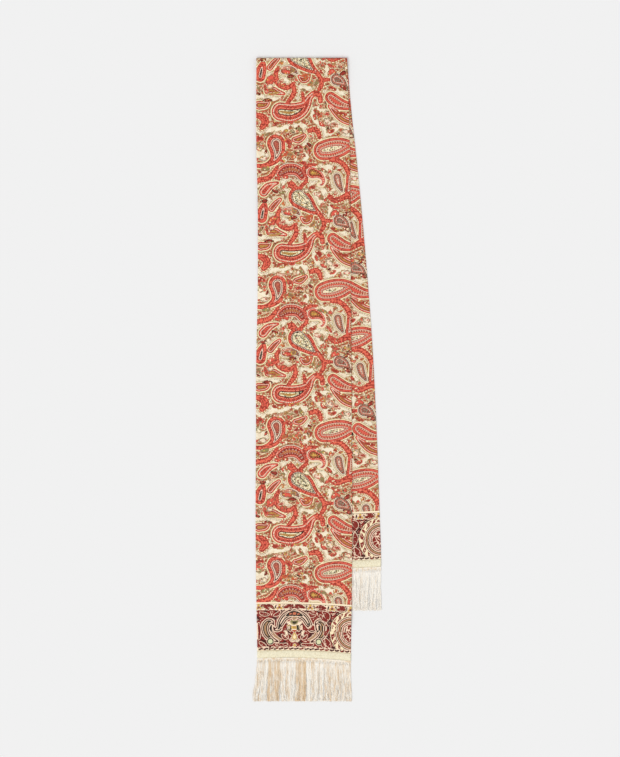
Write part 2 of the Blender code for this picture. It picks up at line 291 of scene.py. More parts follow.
def stroke_discs(spine):
    """Discs close together along a smooth curve through the spine, as columns across,
    up, radius and the distance run along it."""
    knots = np.array(spine, float)
    reach = np.vstack([2 * knots[0] - knots[1], knots, 2 * knots[-1] - knots[-2]])
    pieces = []
    for index in range(len(knots) - 1):
        before, start, end, after = reach[index : index + 4]
        steps = max(2, int(np.hypot(*(end - start)[:2]) / DISC_STEP))
        t = np.linspace(0, 1, steps, endpoint=False)[:, None]
        straight = 2 * start + (end - before) * t
        bend = (2 * before - 5 * start + 4 * end - after) * t**2
        twist = (3 * start - before - 3 * end + after) * t**3
        pieces.append((straight + bend + twist) / 2)
    discs = np.vstack(pieces + [knots[-1:]])
    run = np.hypot(*np.diff(discs[:, :2], axis=0).T)
    return np.column_stack([discs, np.concatenate([[0], np.cumsum(run)])])


def stroke_fields(discs, x, y):
    """The signed distance to a stroke's outline, and how far along it each point is."""
    off_x, off_y = x[:, None] - discs[:, 0], y[:, None] - discs[:, 1]
    away = np.hypot(off_x, off_y)
    nearest = np.argmin(away - discs[:, 2], axis=1)
    rows = np.arange(len(x))
    distance = away[rows, nearest] - discs[nearest, 2]
    heading = np.gradient(discs[:, :2], axis=0)
    heading /= np.maximum(np.hypot(*heading.T), 1e-9)[:, None]
    ahead = off_x[rows, nearest] * heading[nearest, 0] + off_y[rows, nearest] * heading[nearest, 1]
    run = discs[nearest, 3] + np.where(nearest > 0, ahead, 0.0)
    behind = np.arcsin(np.clip(-ahead / np.maximum(away[rows, nearest], 1e-6), 0, 1))
    head = -behind * discs[0, 2] * HEAD_RUN
    return distance, np.where(nearest == 0, head, run)


def merge_stroke(fields, names, spine, scheme, x, y, shifts=(0.0,), over=False):
    """Lays a stroke into the print wherever it is the nearest one, or over the rest.
    The names are those of the distance, the run and the scheme."""
    discs = stroke_discs(spine)
    low = (discs[:, :2] - discs[:, 2:3]).min(0) - FIELD_MARGIN
    high = (discs[:, :2] + discs[:, 2:3]).max(0) + FIELD_MARGIN
    for shift in shifts:
        near = (x > low[0]) & (x < high[0]) & (y > low[1] + shift) & (y < high[1] + shift)
        near = np.flatnonzero(near)
        if not len(near):
            continue
        distance, run = stroke_fields(discs, x[near], y[near] - shift)
        wins = distance < fields[names[0]][near]
        if over:
            wins |= distance < 0.0
        near = near[wins]
        fields[names[0]][near] = distance[wins]
        if names[1]:
            fields[names[1]][near] = run[wins]
        fields[names[2]][near] = scheme


# %% [markdown]
# ## Leaves between the motifs
#
# Leaves, buds and flowers fill the ground between the paisleys, and channels of clear
# cream wind through them. The larger leaves and the channels are charted as strokes
# too. Small sprigs have only a few shapes, so each shape is a function, and a seeded
# random search drops them wherever the ground still has room.

# %% The chart of leaves and channels
CRIMSON, OCHRE, ORANGE, OLIVE, MAROON, PINK, CORAL, GREY, BROWN, RUST, ROSY, NIGHT = range(12)
HEART, LOBE, DARK, PEARL, BLOSSOM, CREAMY, CROWN, EYE, WINE, TAWNY = range(20, 30)
MOTIF_NAMES = ("motif", "run", "scheme")
SPRIG_NAMES = ("sprig", None, "sprig_kind")
# The print repeats above and below, so a stroke is laid three times.
SHIFTS = (-REPEAT, 0.0, REPEAT)
# The distance that a point has when no stroke is near it.
BARE = 20.0

# Leaves and blossoms that have a place of their own: the kind, and the spine.
FOLIAGE = (
    (CRIMSON, ((14, 155.7, 2.1), (17.7, 160.8, 3.2), (24.2, 163.6, 2.1))),
    (GREY, ((17.4, 149.9, 2.9), (19.3, 150.4, 2.9))),
    (CORAL, ((10.8, 151.5, 1.6), (11.7, 147.4, 2.5), (14, 144.1, 1.9))),
    (OCHRE, ((15.4, 139.9, 1.2), (21.9, 140.4, 1.6), (29.3, 142.1, 1.4))),
    (PINK, ((29.7, 156.2, 1.6), (33.5, 157.1, 2.1), (35.8, 158.9, 1.2))),
    (CRIMSON, ((33, 151.5, 1.6), (35.8, 152.4, 2.5), (39, 152.9, 1.4))),
    (CRIMSON, ((35.3, 170, 1.6), (39.5, 169.6, 3), (44.6, 168.7, 2.3))),
    (OCHRE, ((47.3, 170.5, 2.7), (49.7, 171, 2.7))),
    (ROSY, ((33, 173.7, 1.2), (38.5, 174.7, 1.4), (46, 175.6, 1.2))),
    (MAROON, ((42.7, 162.8, 1.2), (46.9, 163.4, 2.7), (52, 163.6, 1.2))),
    (MAROON, ((6.1, 185.3, 1.9), (8.9, 185.3, 2.7), (11.2, 185.8, 1.6))),
    (ORANGE, ((64, 164.3, 1.9), (68.2, 163.7, 3.4), (71.9, 164.9, 1.9))),
    (OCHRE, ((71, 152, 1.6), (74.7, 155.2, 2.9), (76, 158, 1.4))),
    (BROWN, ((80.7, 152.4, 1.4), (83.5, 156.2, 2.5), (84.4, 158.9, 1.2))),
    (RUST, ((100.1, 149.2, 1.6), (104.3, 147.4, 2.7), (108.5, 145.8, 1.4))),
    (NIGHT, ((93.4, 129.8, 1.2), (93.7, 127.9, 1.4))),
    (RUST, ((79.3, 118.6, 1.9), (83.5, 114.9, 3.2), (85.3, 111.7, 1.9))),
    (CRIMSON, ((78.5, 111.7, 2.1), (79.8, 108, 1.9))),
    (ORANGE, ((84.4, 108.9, 1.4), (87.2, 111.2, 2.3))),
    (CRIMSON, ((85.8, 103.4, 1.6), (88.1, 100.1, 2.5), (92.3, 98.3, 1.4))),
    (GREY, ((93.2, 107.1, 1.6), (96, 104.3, 3.4), (99.7, 101.1, 2.1))),
    (PINK, ((103.4, 100.6, 1.9), (107.1, 99.7, 2.7), (109.4, 97.8, 1.4))),
    (CORAL, ((98.7, 89.9, 1.6), (102, 91.3, 2.5), (104.3, 92.7, 1.4))),
    (GREY, ((118.2, 90.9, 2.1), (121.4, 90.4, 3.4))),
    (RUST, ((20.5, 103.6, 1.4), (24.5, 100.4, 2.8), (29.3, 101.9, 1.6))),
    (RUST, ((31.6, 102.4, 1.3), (35.6, 101.5, 2.3), (39.9, 102.8, 1.4))),
    (CORAL, ((41.8, 102.3, 1.2), (45.8, 102.3, 2.2), (49.7, 103.4, 1.2))),
    (OCHRE, ((52, 103.4, 1.2), (55.2, 103.2, 1.8), (58, 103.8, 1.2))),
    (OCHRE, ((28.4, 97.6, 1.2), (32.1, 98.2, 1.4), (34.8, 98.4, 1.2))),
    (BROWN, ((57.1, 97.8, 1.2), (58.5, 93.2, 2.5), (61.7, 89, 1.9))),
    (CORAL, ((38.5, 79.3, 1.6), (42.1, 77.4, 2.7), (44.1, 73.7, 1.6))),
    (PINK, ((51, 68.6, 2.5), (57.1, 71, 3.6), (60.8, 68.6, 2.1))),
    (OCHRE, ((42.2, 61.2, 2.5), (45.5, 60.6, 2.9))), (ORANGE, ((47.8, 57.5, 2.3), (51, 57.1, 1.9))),
    (OLIVE, ((37.6, 61.2, 1.6), (39.5, 63.6, 2.1))), (MAROON, ((69.1, 74.7, 1.6), (71.9, 72.3, 2.1))),
    (RUST, ((69.1, 67.3, 1.6), (71.9, 65.4, 2.1), (71, 61.7, 1.4))),
    (ROSY, ((26, 88.1, 1.4), (30.2, 87.2, 2.2), (34.4, 88.1, 1.3))),
    (OCHRE, ((37.2, 90.4, 1.6), (39.9, 91.8, 2.1))),
    (BROWN, ((12.2, 86, 1.2), (16.8, 87.4, 2.1), (21.4, 88.1, 1.2))),
    (CORAL, ((0.1, 81.1, 4), (4.3, 82.1, 3.4), (8, 80.2, 2.1))),
    (OLIVE, ((1, 69.1, 2.1), (3.4, 67.3, 2.7))),
    (MAROON, ((8.9, 131.6, 1.2), (14, 132.5, 2.3), (19.6, 131.9, 1.4))),
    (BROWN, ((2, 148.7, 1.9), (3.8, 145, 1.6))), (MAROON, ((1, 140.9, 1.9), (3.4, 139.9, 1.6))),
    (BROWN, ((63.1, 146.4, 1.2), (65.9, 145, 1.6))), (OLIVE, ((76.5, 151.5, 1.4), (77.6, 148.7, 1.9))),
    (RUST, ((109.8, 115.4, 1.6), (116.3, 114, 2.7), (121.9, 113.1, 1.6))),
    (CRIMSON, ((99.7, 179.3, 1.5), (104.3, 176.5, 2.2), (109.8, 176.1, 1.2))),
    (CRIMSON, ((100.6, 167.3, 2.7), (104.3, 170, 3.2), (108.9, 169.1, 1.9))),
    (MAROON, ((117.3, 166.3, 2.1), (121, 168.2, 2.9))),
    (MAROON, ((115.4, 150.1, 1.4), (120, 148.7, 2.7), (122.8, 146, 1.6))),
    (CORAL, ((99.7, 3.4, 1.9), (105.2, 2, 2.5), (110.3, 2.5, 1.6))),
    (BROWN, ((83.5, 7.6, 1.6), (86.2, 4.8, 2.5), (88.1, 1.5, 1.4))),
    (CRIMSON, ((90.9, 185.8, 1.4), (93.2, 187.2, 2.3))), (GREY, ((5.6, 55.3, 2.5), (10, 55.5, 3.4))),
    (BROWN, ((7.5, 40.8, 2.5), (13.8, 42, 2.8))), (CORAL, ((31.5, 52.8, 1.4), (35.9, 51.5, 1.9))),
    (ORANGE, ((35.9, 59.7, 2.5), (40.3, 62.2, 3))), (CRIMSON, ((24.5, 29.4, 1.9), (29, 28.8, 2.6))),
    (CRIMSON, ((35.3, 31, 2), (39.7, 30.7, 2.5))), (CORAL, ((58.6, 50.9, 1.9), (64.3, 48.3, 2.8))),
    (BROWN, ((81.4, 41.4, 1.3), (88.3, 40.1, 2.1), (93.4, 37.6, 1.2))),
    (CRIMSON, ((93.2, 20, 1.1), (96.6, 16.2, 2), (99.4, 12.6, 1.1))),
    (OLIVE, ((61.8, 13.6, 1.9), (66.8, 12.3, 2.8))), (RUST, ((71.3, 16.1, 2.2), (75.7, 17.4, 2.8))),
    (ROSY, ((78.2, 8.6, 2.2), (83.3, 7.3, 2.8))), (MAROON, ((20.7, 13, 1.9), (25.2, 11.7, 2.6))),
    (BROWN, ((30.2, 9.8, 1.9), (35.3, 10.4, 2.5))),
)

# Clear channels that wind between the motifs, where the cream ground shows.
CHANNELS = (
    (
        (-0.3, 179.9, 2.2), (7.1, 180.6, 2.2), (13.5, 185.2, 2.4), (21.9, 188, 2.2), (34.8, 188, 2),
        (42.2, 183.8, 1.6),
    ),
    (
        (8.9, 163.5, 1.4), (12.6, 166.4, 2), (21, 169.5, 1.8), (28.4, 174.1, 2), (36.7, 179, 2),
        (44.1, 178.7, 1.4),
    ),
    ((34.4, 161.1, 2.2), (37.6, 159.8, 2), (42.2, 156.1, 2.4), (52, 154.2, 2.2), (55.7, 155.1, 1.2)),
    (
        (-1.3, 135.7, 2.6), (11.7, 137.5, 2.6), (21, 135.2, 2.6), (28.4, 135.2, 2.2), (36.7, 138, 1.8),
        (44.1, 143.1, 1.6),
    ),
    ((58.5, 150.5, 1.8), (57.1, 141.2, 2), (57.1, 132, 1.6)),
    ((58, 150.5, 1.6), (68.2, 148.6, 2.2), (77.4, 146.3, 2.4), (83.9, 141.2, 1.6)),
    ((93.2, 144, 1.8), (104.3, 141.7, 2.8), (114.5, 141.2, 2.8), (125.6, 144.9, 2.4)),
    (
        (8.9, 113.9, 1.8), (15.4, 108.8, 2.6), (16.8, 100.5, 3), (15.4, 93.1, 2.4), (25.6, 94.9, 2.4),
        (34.8, 96.3, 2.2), (49.7, 98.6, 1.8), (58, 101, 2.8),
    ),
    ((58, 101, 2.8), (63.5, 97.7, 3.2), (66.8, 90.3, 3), (67.2, 82.9, 3), (64.5, 76.4, 2)),
    ((-1.3, 94, 2), (5.2, 90.3, 2.2), (15.4, 93.1, 2.2)),
    (
        (76.5, 122.7, 2), (76.5, 114.4, 2.6), (78.4, 107, 2.2), (85.8, 99.6, 2.4), (90.9, 90.3, 3.4),
        (91.3, 83.8, 2.8),
    ),
    ((91.3, 85.7, 2.6), (99.7, 88, 2.2), (108.9, 94.9, 2), (114.5, 97.7, 2), (125.6, 95.9, 2)),
    ((86.7, 119, 1.6), (96, 118.1, 2.2), (101.5, 116.7, 1.8), (104.3, 108.8, 1.6), (113.5, 100.5, 1.6)),
    ((-0.3, 62.5, 3.4), (5.2, 60.7, 3.8), (8.9, 63.5, 2.4)),
    (
        (77.4, 9.9, 2.2), (81.1, -2.2, 2.8), (86.7, -2.6, 2.2), (94.1, 4.8, 2.6), (99.2, 9.9, 2.4),
        (104.3, 12.6, 2),
    ),
    ((98.3, 179.2, 2.4), (96.4, 169.9, 2), (96, 163.5, 1.4)),
    ((53.4, 148.6, 1.2), (49.7, 141.2, 1.4), (47.8, 135.7, 1.2)),
    ((115.4, 85.7, 2), (121, 83.8, 2.6), (127.4, 85.7, 2.4)),
    ((68.9, 18.6, 1.6), (73.8, 23.1, 2.6), (79.4, 25.1, 2)),
    (
        (93.1, 42.9, 2.6), (99.6, 42.5, 3), (104.1, 38, 2.6), (100.4, 30.4, 2.4), (102, 22.7, 2.2),
        (106.1, 14.6, 2.4), (109.7, 7.3, 2.4),
    ),
    ((98.8, 50.6, 1.4), (109.3, 46.1, 2.2), (118.2, 36.4, 1.8)), ((83.4, 45.7, 1.8), (93.1, 44.9, 2.2)),
    ((30.1, 18.6, 2.4), (35, 25.1, 2.8), (40.6, 27.1, 2), (47.9, 26.7, 1.6), (56, 25.1, 1.8)),
    ((-0.6, 19.5, 1.4), (8.3, 23.1, 1.6), (18.8, 25.1, 1.8), (29.3, 24.3, 2.2)),
    ((64.1, 61.5, 2.2), (66.5, 55, 2.8), (61.6, 49.8, 1.8)), ((35.8, 14.6, 2.4), (40.6, 9.8, 3)),
    ((82.6, 16.2, 1.8), (88.3, 13, 2.6), (93.1, 8.1, 2.2)),
    ((1, 59.9, 3), (9.1, 59.9, 3.4), (14.8, 60.7, 2.4)),
    ((16.4, 42.9, 1.4), (28.5, 49.8, 1.8), (38.2, 52.6, 1.6)),
)


def blank_fields(count):
    """The print's fields before anything is drawn in them."""
    fields = {name: np.full(count, BARE, np.float32) for name in ("motif", "sprig", "channel")}
    for name in ("run", "scheme", "sprig_kind"):
        fields[name] = np.zeros(count, np.float32)
    return fields


def to_channel(x, y):
    """How far each point of the repeat is from the edge of a clear channel."""
    fields = blank_fields(len(x))
    for spine in CHANNELS:
        merge_stroke(fields, MOTIF_NAMES, spine, 0, x, y, SHIFTS)
    return fields["motif"]


# %% Sprigs
HEART_KINDS = {OCHRE: MAROON, ORANGE: OCHRE, PINK: CRIMSON, CORAL: PINK, CRIMSON: OCHRE}


def bent(x, y, turn, places, size=1.0):
    """A spine from (along, beside, radius) places, sized and turned about a point."""
    cos, sin = math.cos(turn), math.sin(turn)
    sized = [(a * size, b * size, r * size) for a, b, r in places]
    return tuple((x + a * cos - b * sin, y + a * sin + b * cos, r) for a, b, r in sized)


def leaf(x, y, size, turn, kind):
    """One curved leaf."""
    places = ((-1.2, 0.3, 0.22), (-0.4, 0.05, 0.62), (0.4, 0.05, 0.55), (1.2, 0.3, 0.18))
    return [(kind, bent(x, y, turn, places, size))]


def bud(x, y, size, turn, kind):
    """A fat drop with a spot in its heart."""
    drop = ((0, 0, 0.85), (0.9, 0.1, 0.55), (1.6, 0.6, 0.28))
    spot = ((-0.1, 0, 0.34), (0.35, 0.02, 0.22))
    heart = HEART_KINDS.get(kind, CREAMY)
    return [(kind, bent(x, y, turn, drop, size)), (heart, bent(x, y, turn, spot, size))]


def flower(x, y, size, turn, kind, petals=5):
    """Round petals about a heart."""
    strokes = []
    for petal in range(petals):
        angle = turn + 2 * math.pi * petal / petals
        strokes.append((kind, bent(x, y, angle, ((0.25, 0, 0.2), (0.68, 0, 0.36)), size)))
    heart = HEART_KINDS.get(kind, MAROON)
    strokes.append((heart, bent(x, y, 0, ((0, 0, 0.27 * size), (0.05, 0, 0.27 * size)))))
    return strokes


def tulip(x, y, size, turn, kind):
    """Three petals fanned from a cup, and two leaves that bend back."""
    strokes = []
    for angle in (-0.72, 0.0, 0.72):
        petal = ((-0.25, 0, 0.14), (0.25, 0, 0.27), (0.78, 0, 0.16))
        strokes.append((kind, bent(x, y, turn + angle, petal, size)))
    for side in (-1, 1):
        blade = ((-0.3, 0, 0.13), (-0.5, 0.45 * side, 0.2), (-0.2, 0.85 * side, 0.1))
        strokes.append((OLIVE, bent(x, y, turn, blade, size)))
    cup = ((-0.28, 0, 0.22), (-0.2, 0, 0.22))
    strokes.append((HEART_KINDS.get(kind, MAROON), bent(x, y, turn, cup, size)))
    return strokes


def spray(x, y, size, turn, kind):
    """A stem with leaves on both sides."""
    strokes = []
    for index, (along, side) in enumerate(((-0.7, 1), (-0.25, -1), (0.15, 1), (0.55, -1))):
        reach = 0.55 - 0.07 * index
        blade = ((along, 0.05 * side, 0.12), (along + 0.3, reach * 0.6 * side, 0.2))
        blade += ((along + 0.5, reach * side, 0.09),)
        strokes.append((kind, bent(x, y, turn, blade, size)))
    tip = ((0.7, 0, 0.12), (0.95, 0, 0.2), (1.2, 0, 0.1))
    strokes.append((CRIMSON, bent(x, y, turn, tip, size)))
    return strokes


# Shape, size in millimetres from and to, reach in sizes, tries, and the kinds it takes.
SPRIG_RUNS = (
    (tulip, 3.9, 5.0, 0.85, 900, (CRIMSON, RUST, CORAL, CRIMSON)),
    (spray, 3.5, 4.8, 0.95, 1000, (CRIMSON, CORAL, BROWN, RUST)),
    (flower, 2.7, 3.5, 1.0, 500, (OCHRE, ORANGE, PINK, CORAL, CRIMSON)),
    (bud, 2.0, 2.9, 1.6, 1800, (CRIMSON, CORAL, RUST, MAROON, CRIMSON)),
    (leaf, 1.8, 2.7, 1.3, 2200, (OLIVE, CRIMSON, CORAL, RUST, MAROON, BROWN)),
)
# The room that a sprig needs, in millimetres, beside motifs, leaves, channels and others.
BESIDE_MOTIF = 0.7
BESIDE_LEAF = 0.4
BESIDE_CHANNEL = 0.4
BESIDE_SPRIG = 0.25


def scatter_sprigs(seed=7):
    """Sprigs of one repeat, as shape, x, y, size, turn and kind, none on another."""
    random = np.random.default_rng(seed)
    placed, taken = [], np.zeros((0, 3))
    for shape, smallest, largest, reach, tries, kinds in SPRIG_RUNS:
        x = random.uniform(-2, CLOTH_WIDE + 2, tries)
        y = random.uniform(0, REPEAT, tries)
        size = random.uniform(smallest, largest, tries)
        turn = random.uniform(0, 2 * math.pi, tries)
        kind = random.choice(kinds, tries)
        room = blank_fields(tries)
        for names, chart in ((MOTIF_NAMES, MOTIFS), (SPRIG_NAMES, FOLIAGE)):
            for charted, spine in chart:
                merge_stroke(room, names, spine, charted, x, y, SHIFTS)
        clear = to_channel(x, y)
        for index in range(tries):
            needs = size[index] * reach
            if room["motif"][index] < needs + BESIDE_MOTIF or room["sprig"][index] < needs + BESIDE_LEAF:
                continue
            if clear[index] < BESIDE_CHANNEL:
                continue
            gap_y = np.abs(y[index] - taken[:, 1])
            gap = np.hypot(x[index] - taken[:, 0], np.minimum(gap_y, REPEAT - gap_y))
            if np.all(gap > needs + taken[:, 2] + BESIDE_SPRIG):
                placed.append((shape, x[index], y[index], size[index], turn[index], int(kind[index])))
                taken = np.vstack([taken, (x[index], y[index], needs)])
    return placed


sprigs = scatter_sprigs()
print("sprigs in one repeat", len(sprigs))

# %% [markdown]
# ## The border
#
# The border has its own chart: two snails facing each other under an arch, a medallion
# on the fold edge, and a row of small flowers between leaves along the top.

# %% The border's chart
NEST, ARCH, MEDALLION = range(10, 13)
MIDDLE = 49.6
# The half unit left of the middle: its mirror image gives the other half.
HALF_UNIT = (
    (NEST, (
        (21.4, 33.6, 1), (20, 37.6, 2.4), (14.8, 38.2, 4.2), (10.6, 33, 5.2), (10.4, 26, 5.2),
        (13.6, 19.4, 4.6), (19.6, 14.8, 3.2), (27, 11.6, 1.4),
    )),
    (ARCH, (
        (21.4, 31, 1), (23.4, 27.6, 2.2), (28.2, 28.6, 3.5), (31, 36, 4.8), (37, 44.6, 5.3),
        (49.6, 51, 6.2),
    )),
)
HALF_SPRIGS = (
    (EYE, ((16.8, 12, 4.2), (17, 12, 4.2))),
    (DARK, ((18.6, 32.6, 0.9), (17.6, 29, 1.5), (18.6, 25, 0.8))),
    (TAWNY, ((20.4, 23.8, 0.7), (24, 18.6, 1.2), (30.6, 14.2, 0.8))),
    (PEARL, ((40.5, 37.4, 0.8), (43, 35.6, 1.3), (46.5, 32.8, 0.8))),
    (PEARL, ((37, 25.5, 0.7), (38.8, 23.2, 1.1), (38, 20.2, 0.7))),
    (PEARL, ((44, 13.6, 0.6), (46, 12, 0.8), (48.6, 12.2, 0.6))),
    (WINE, ((33, 20, 0.8), (35.6, 16.6, 1.5), (38.6, 15, 0.8))),
    (WINE, ((40.6, 31.8, 0.9), (43, 29.6, 1.8), (43.8, 26, 0.9))),
    (WINE, ((41.8, 20.6, 0.9), (43.6, 18.4, 1.7), (42.8, 15.8, 0.9))),
    (ORANGE, ((44.2, 48.4, 0.9), (44.8, 48.5, 0.9))),
)
MIDDLE_SPRIGS = (
    (DARK, (
        (39, 46.2, 0.9), (44, 48.2, 2.5), (49.6, 48.9, 3.4), (55.2, 48.2, 2.5), (60.2, 46.2, 0.9),
    )),
    (ORANGE, ((49.2, 48.8, 1.4), (50, 48.8, 1.4))),
    (CROWN, ((45.2, 38.8, 1.2), (49.6, 36.6, 2.7), (54, 38.8, 1.2))),
    (TAWNY, ((47.2, 43.6, 0.8), (49.6, 42.2, 1.5), (52, 43.6, 0.8))),
    (HEART, ((49.6, 25.2, 1.3), (47.7, 28.8, 2.2))), (HEART, ((49.6, 25.2, 1.3), (51.5, 28.8, 2.2))),
    (LOBE, ((49.6, 17.2, 3.1), (49.6, 22, 1.3))), (LOBE, ((49.6, 6.8, 1.6), (49.7, 6.8, 1.6))),
)
MEDALLION_SPINE = ((127, 26, 30.0), (127.3, 26, 30.0))
# Solid leaves of the ground, round the unit and the medallion.
GROUND_LEAVES = (
    ((89, 51.5, 1.4), (93.5, 47.5, 3.4), (92, 41, 2)), ((84, 47, 1), (87.5, 44, 2.1), (89.5, 40.5, 1)),
    ((92.2, 35, 1.3), (92.8, 28.5, 3.1), (91, 22, 1.6)), ((92, 16, 1.2), (94.5, 11, 3), (97, 6.5, 1.5)),
    ((86.5, 12, 0.9), (88, 8, 1.7), (90, 6, 0.9)), ((1.5, 36, 1), (2.4, 26, 1.7), (1.6, 16, 1)),
    ((3, 11, 1), (6, 8.5, 2), (10, 6.5, 1)), ((4, 50, 1), (9, 48, 2.1), (14.5, 47.5, 1)),
    ((23, 46.5, 1), (27, 48, 1.9), (30, 51.5, 1)), ((69, 49.5, 1), (72, 46.5, 1.9), (76.5, 47, 1)),
    ((25, 8, 1), (31, 7, 1.7), (39, 8, 1)), ((60, 8, 1), (68, 7, 1.7), (74, 8, 1)),
)
# The row along the top: where its flowers stand, their height and size, a tick beside
# each (out from its middle, up, radius), and the leaves between.
TOP_FLOWERS = (1.9, 29.8, 70.9, 100.1, 124.4)
TOP_FLOWER_UP = 57.4
TOP_FLOWER_SIZE = 4.0
TOP_TICK = ((4.6, 59.8, 0.6), (5.6, 56.4, 0.85))
TOP_LEAVES = (
    ((6, 59.6, 1.3), (10.5, 58.6, 2.4), (15, 55, 1.3)),
    ((14, 60.4, 0.9), (18.5, 58.6, 1.9), (22.5, 55.4, 0.9)),
    ((35.5, 56.6, 0.9), (41, 58.6, 2.3), (47.6, 60, 1)),
    ((63.7, 56.6, 0.9), (58.2, 58.6, 2.3), (51.6, 60, 1)),
    ((44, 55.6, 0.7), (49.6, 57.4, 1.1), (55.2, 55.6, 0.7)),
    ((79, 57.8, 1), (84.5, 58.8, 2.3), (91, 57.4, 1.2)),
    ((82, 54.4, 0.7), (86.5, 55.2, 1.1), (91, 54.2, 0.7)),
    ((106.5, 56.4, 1), (112.5, 56.8, 2.3), (118.5, 57.4, 1)),
    ((108.5, 60.8, 0.7), (113.5, 60.6, 1), (118, 60.9, 0.7)),
)


def mirrored(spine):
    return tuple((2 * MIDDLE - x, y, radius) for x, y, radius in spine)


def border_fields(x, w):
    """The border's fields at distances x from the seam edge and w from the end."""
    fields = blank_fields(len(x))
    for scheme, spine in HALF_UNIT:
        for side in (spine, mirrored(spine)):
            merge_stroke(fields, MOTIF_NAMES, side, scheme, x, w, over=scheme == ARCH)
    merge_stroke(fields, MOTIF_NAMES, MEDALLION_SPINE, MEDALLION, x, w)
    strokes = [(WINE, spine, False) for spine in GROUND_LEAVES]
    strokes += [(kind, spine, kind == ORANGE) for kind, spine in MIDDLE_SPRIGS]
    for kind, spine in HALF_SPRIGS:
        strokes += [(kind, side, kind == ORANGE) for side in (spine, mirrored(spine))]
    strokes += [(WINE, spine, False) for spine in TOP_LEAVES]
    for middle in TOP_FLOWERS:
        made = flower(middle, TOP_FLOWER_UP, TOP_FLOWER_SIZE, math.pi / 2, BLOSSOM, petals=3)
        strokes += [(kind, spine, kind != BLOSSOM) for kind, spine in made]
        for side in (-1, 1):
            strokes.append((DARK, [(middle + out * side, up, radius) for out, up, radius in TOP_TICK], False))
    for kind, spine, over in strokes:
        merge_stroke(fields, SPRIG_NAMES, spine, kind, x, w, over=over)
    return fields


def body_fields(x, y):
    """The repeating print's fields."""
    y = np.mod(y, REPEAT)
    fields = blank_fields(len(x))
    for names, chart in ((MOTIF_NAMES, MOTIFS), (SPRIG_NAMES, FOLIAGE)):
        for scheme, spine in chart:
            merge_stroke(fields, names, spine, scheme, x, y, SHIFTS)
    for shape, at_x, at_y, size, turn, kind in sprigs:
        for index, (ink, spine) in enumerate(shape(at_x, at_y, size, turn, kind)):
            over = index > 0 and ink != kind
            merge_stroke(fields, SPRIG_NAMES, spine, ink, x, y, SHIFTS, over)
    fields["channel"] = to_channel(x, y)
    return fields


# Where a repeat begins, from the front end, the fold's middle radius, and the cloth's
# length with the run round the fold.
BODY_START = 410.0
FOLD_RADIUS = 2.1
CLOTH_LONG = (FRONT_LENGTH + BACK_LENGTH) / MM + math.pi * FOLD_RADIUS - 2 * FOLD_RADIUS


def print_fields(x, w):
    """The whole print: w is the distance from the front end, along the tube."""
    edge = np.minimum(w, CLOTH_LONG - w)
    in_border = edge < BORDER
    fields = blank_fields(len(x))
    for chosen, made in ((in_border, border_fields), (~in_border, body_fields)):
        if chosen.any():
            y = edge[chosen] if made is border_fields else w[chosen] - BODY_START
            part = made(x[chosen], y)
            for name in fields:
                fields[name][chosen] = part[name]
    return fields, edge


# %% [markdown]
# ## The silk
#
# The tube is one wall with an outer skin, which shows, and an inner skin. The print's
# distances are kept in the skin's points, so the skin that shows has points about a
# millimetre apart, and the hidden ones are coarser. Each ring of points runs from the
# seam, over the face, round the pressed edge and back underneath.

# %% The tube's rings
EDGE_ROUND = 0.9 * MM
SEAM_GROOVE = 0.5 * MM
# The ring's points by the seam and by the pressed edge: share of the width, inset,
# height share, and share of the print's width.
SEAM_POINTS = [(0.0, 0.0, 0.68, 0.0), (0.0, 0.12 * MM, 0.84, 0.0), (0.0, 0.4 * MM, 0.95, 0.0)]
FOLD_POINTS = [(1.0, -0.4 * MM, 0.95, 1.0), (1.0, -0.12 * MM, 0.80, 1.0)]
# The inner skin's height shares, and how much deeper it turns at the edges.
INNER_UPPER, INNER_LOWER = 0.62, 0.38
INNER_INSET = EDGE_ROUND * 1.15
# Height shares above this one are the upper skin.
UPPER = 0.9


def ring_section(upper_shares, lower_shares):
    """Each point of the ring as (share of the width, inset, height share, print share)."""
    upper, lower = (
        SEAM_POINTS + [(s, EDGE_ROUND * (1 - 2 * s), 1.0, s) for s in shares] + FOLD_POINTS
        for shares in (upper_shares, lower_shares)
    )
    lower = [(share, inset, 1.0 - height, s) for share, inset, height, s in reversed(lower)]
    groove, edge = [(0.0, SEAM_GROOVE, 0.5, 0.0)], [(1.0, 0.0, 0.5, 1.0)]
    return np.array(groove + upper + edge + lower)


def inner_section(section):
    """The ring of the wall's inner skin, point for point."""
    inner = section.copy()
    share = np.clip((section[:, 3] - 0.02) / 0.96, 0, 1)
    inner[:, 0] = section[:, 3]
    inner[:, 1] = INNER_INSET * (1 - 2 * share)
    inner[:, 2] = np.where(section[:, 2] >= 0.5, INNER_UPPER, INNER_LOWER)
    middle = np.abs(section[:, 2] - 0.5) < 0.01
    inner[middle, 2] = 0.5
    inner[middle, 1] *= 0.85
    return inner


def ring_across(rows, section, down):
    """Where a ring's points are across a flap, and their height shares."""
    left, right = edges(rows, down)
    share, inset, height, _ = section.T
    return left * (1 - share) + right * share + inset, height


def front_places(section, down):
    """A ring of the front flap, which rests on the under flap and has soft ridges."""
    across, height = ring_across(FRONT_ROWS, section, down)
    steepness = 2 if height.max() > UPPER else 8
    lift = ridges(down, across) * ease((height - 0.5) * steepness)
    up = support(down, across) + height * CLOTH_THICK + lift * np.where(height > UPPER, height, 1.0)
    return in_frame(across, lowered(FRONT_ROWS, down, across), up)


def back_places(section, down):
    """A ring of the under flap, which lies face down on the table."""
    across, height = ring_across(BACK_ROWS, section, down)
    return in_frame(across, lowered(BACK_ROWS, down, across), (1 - height) * CLOTH_THICK)


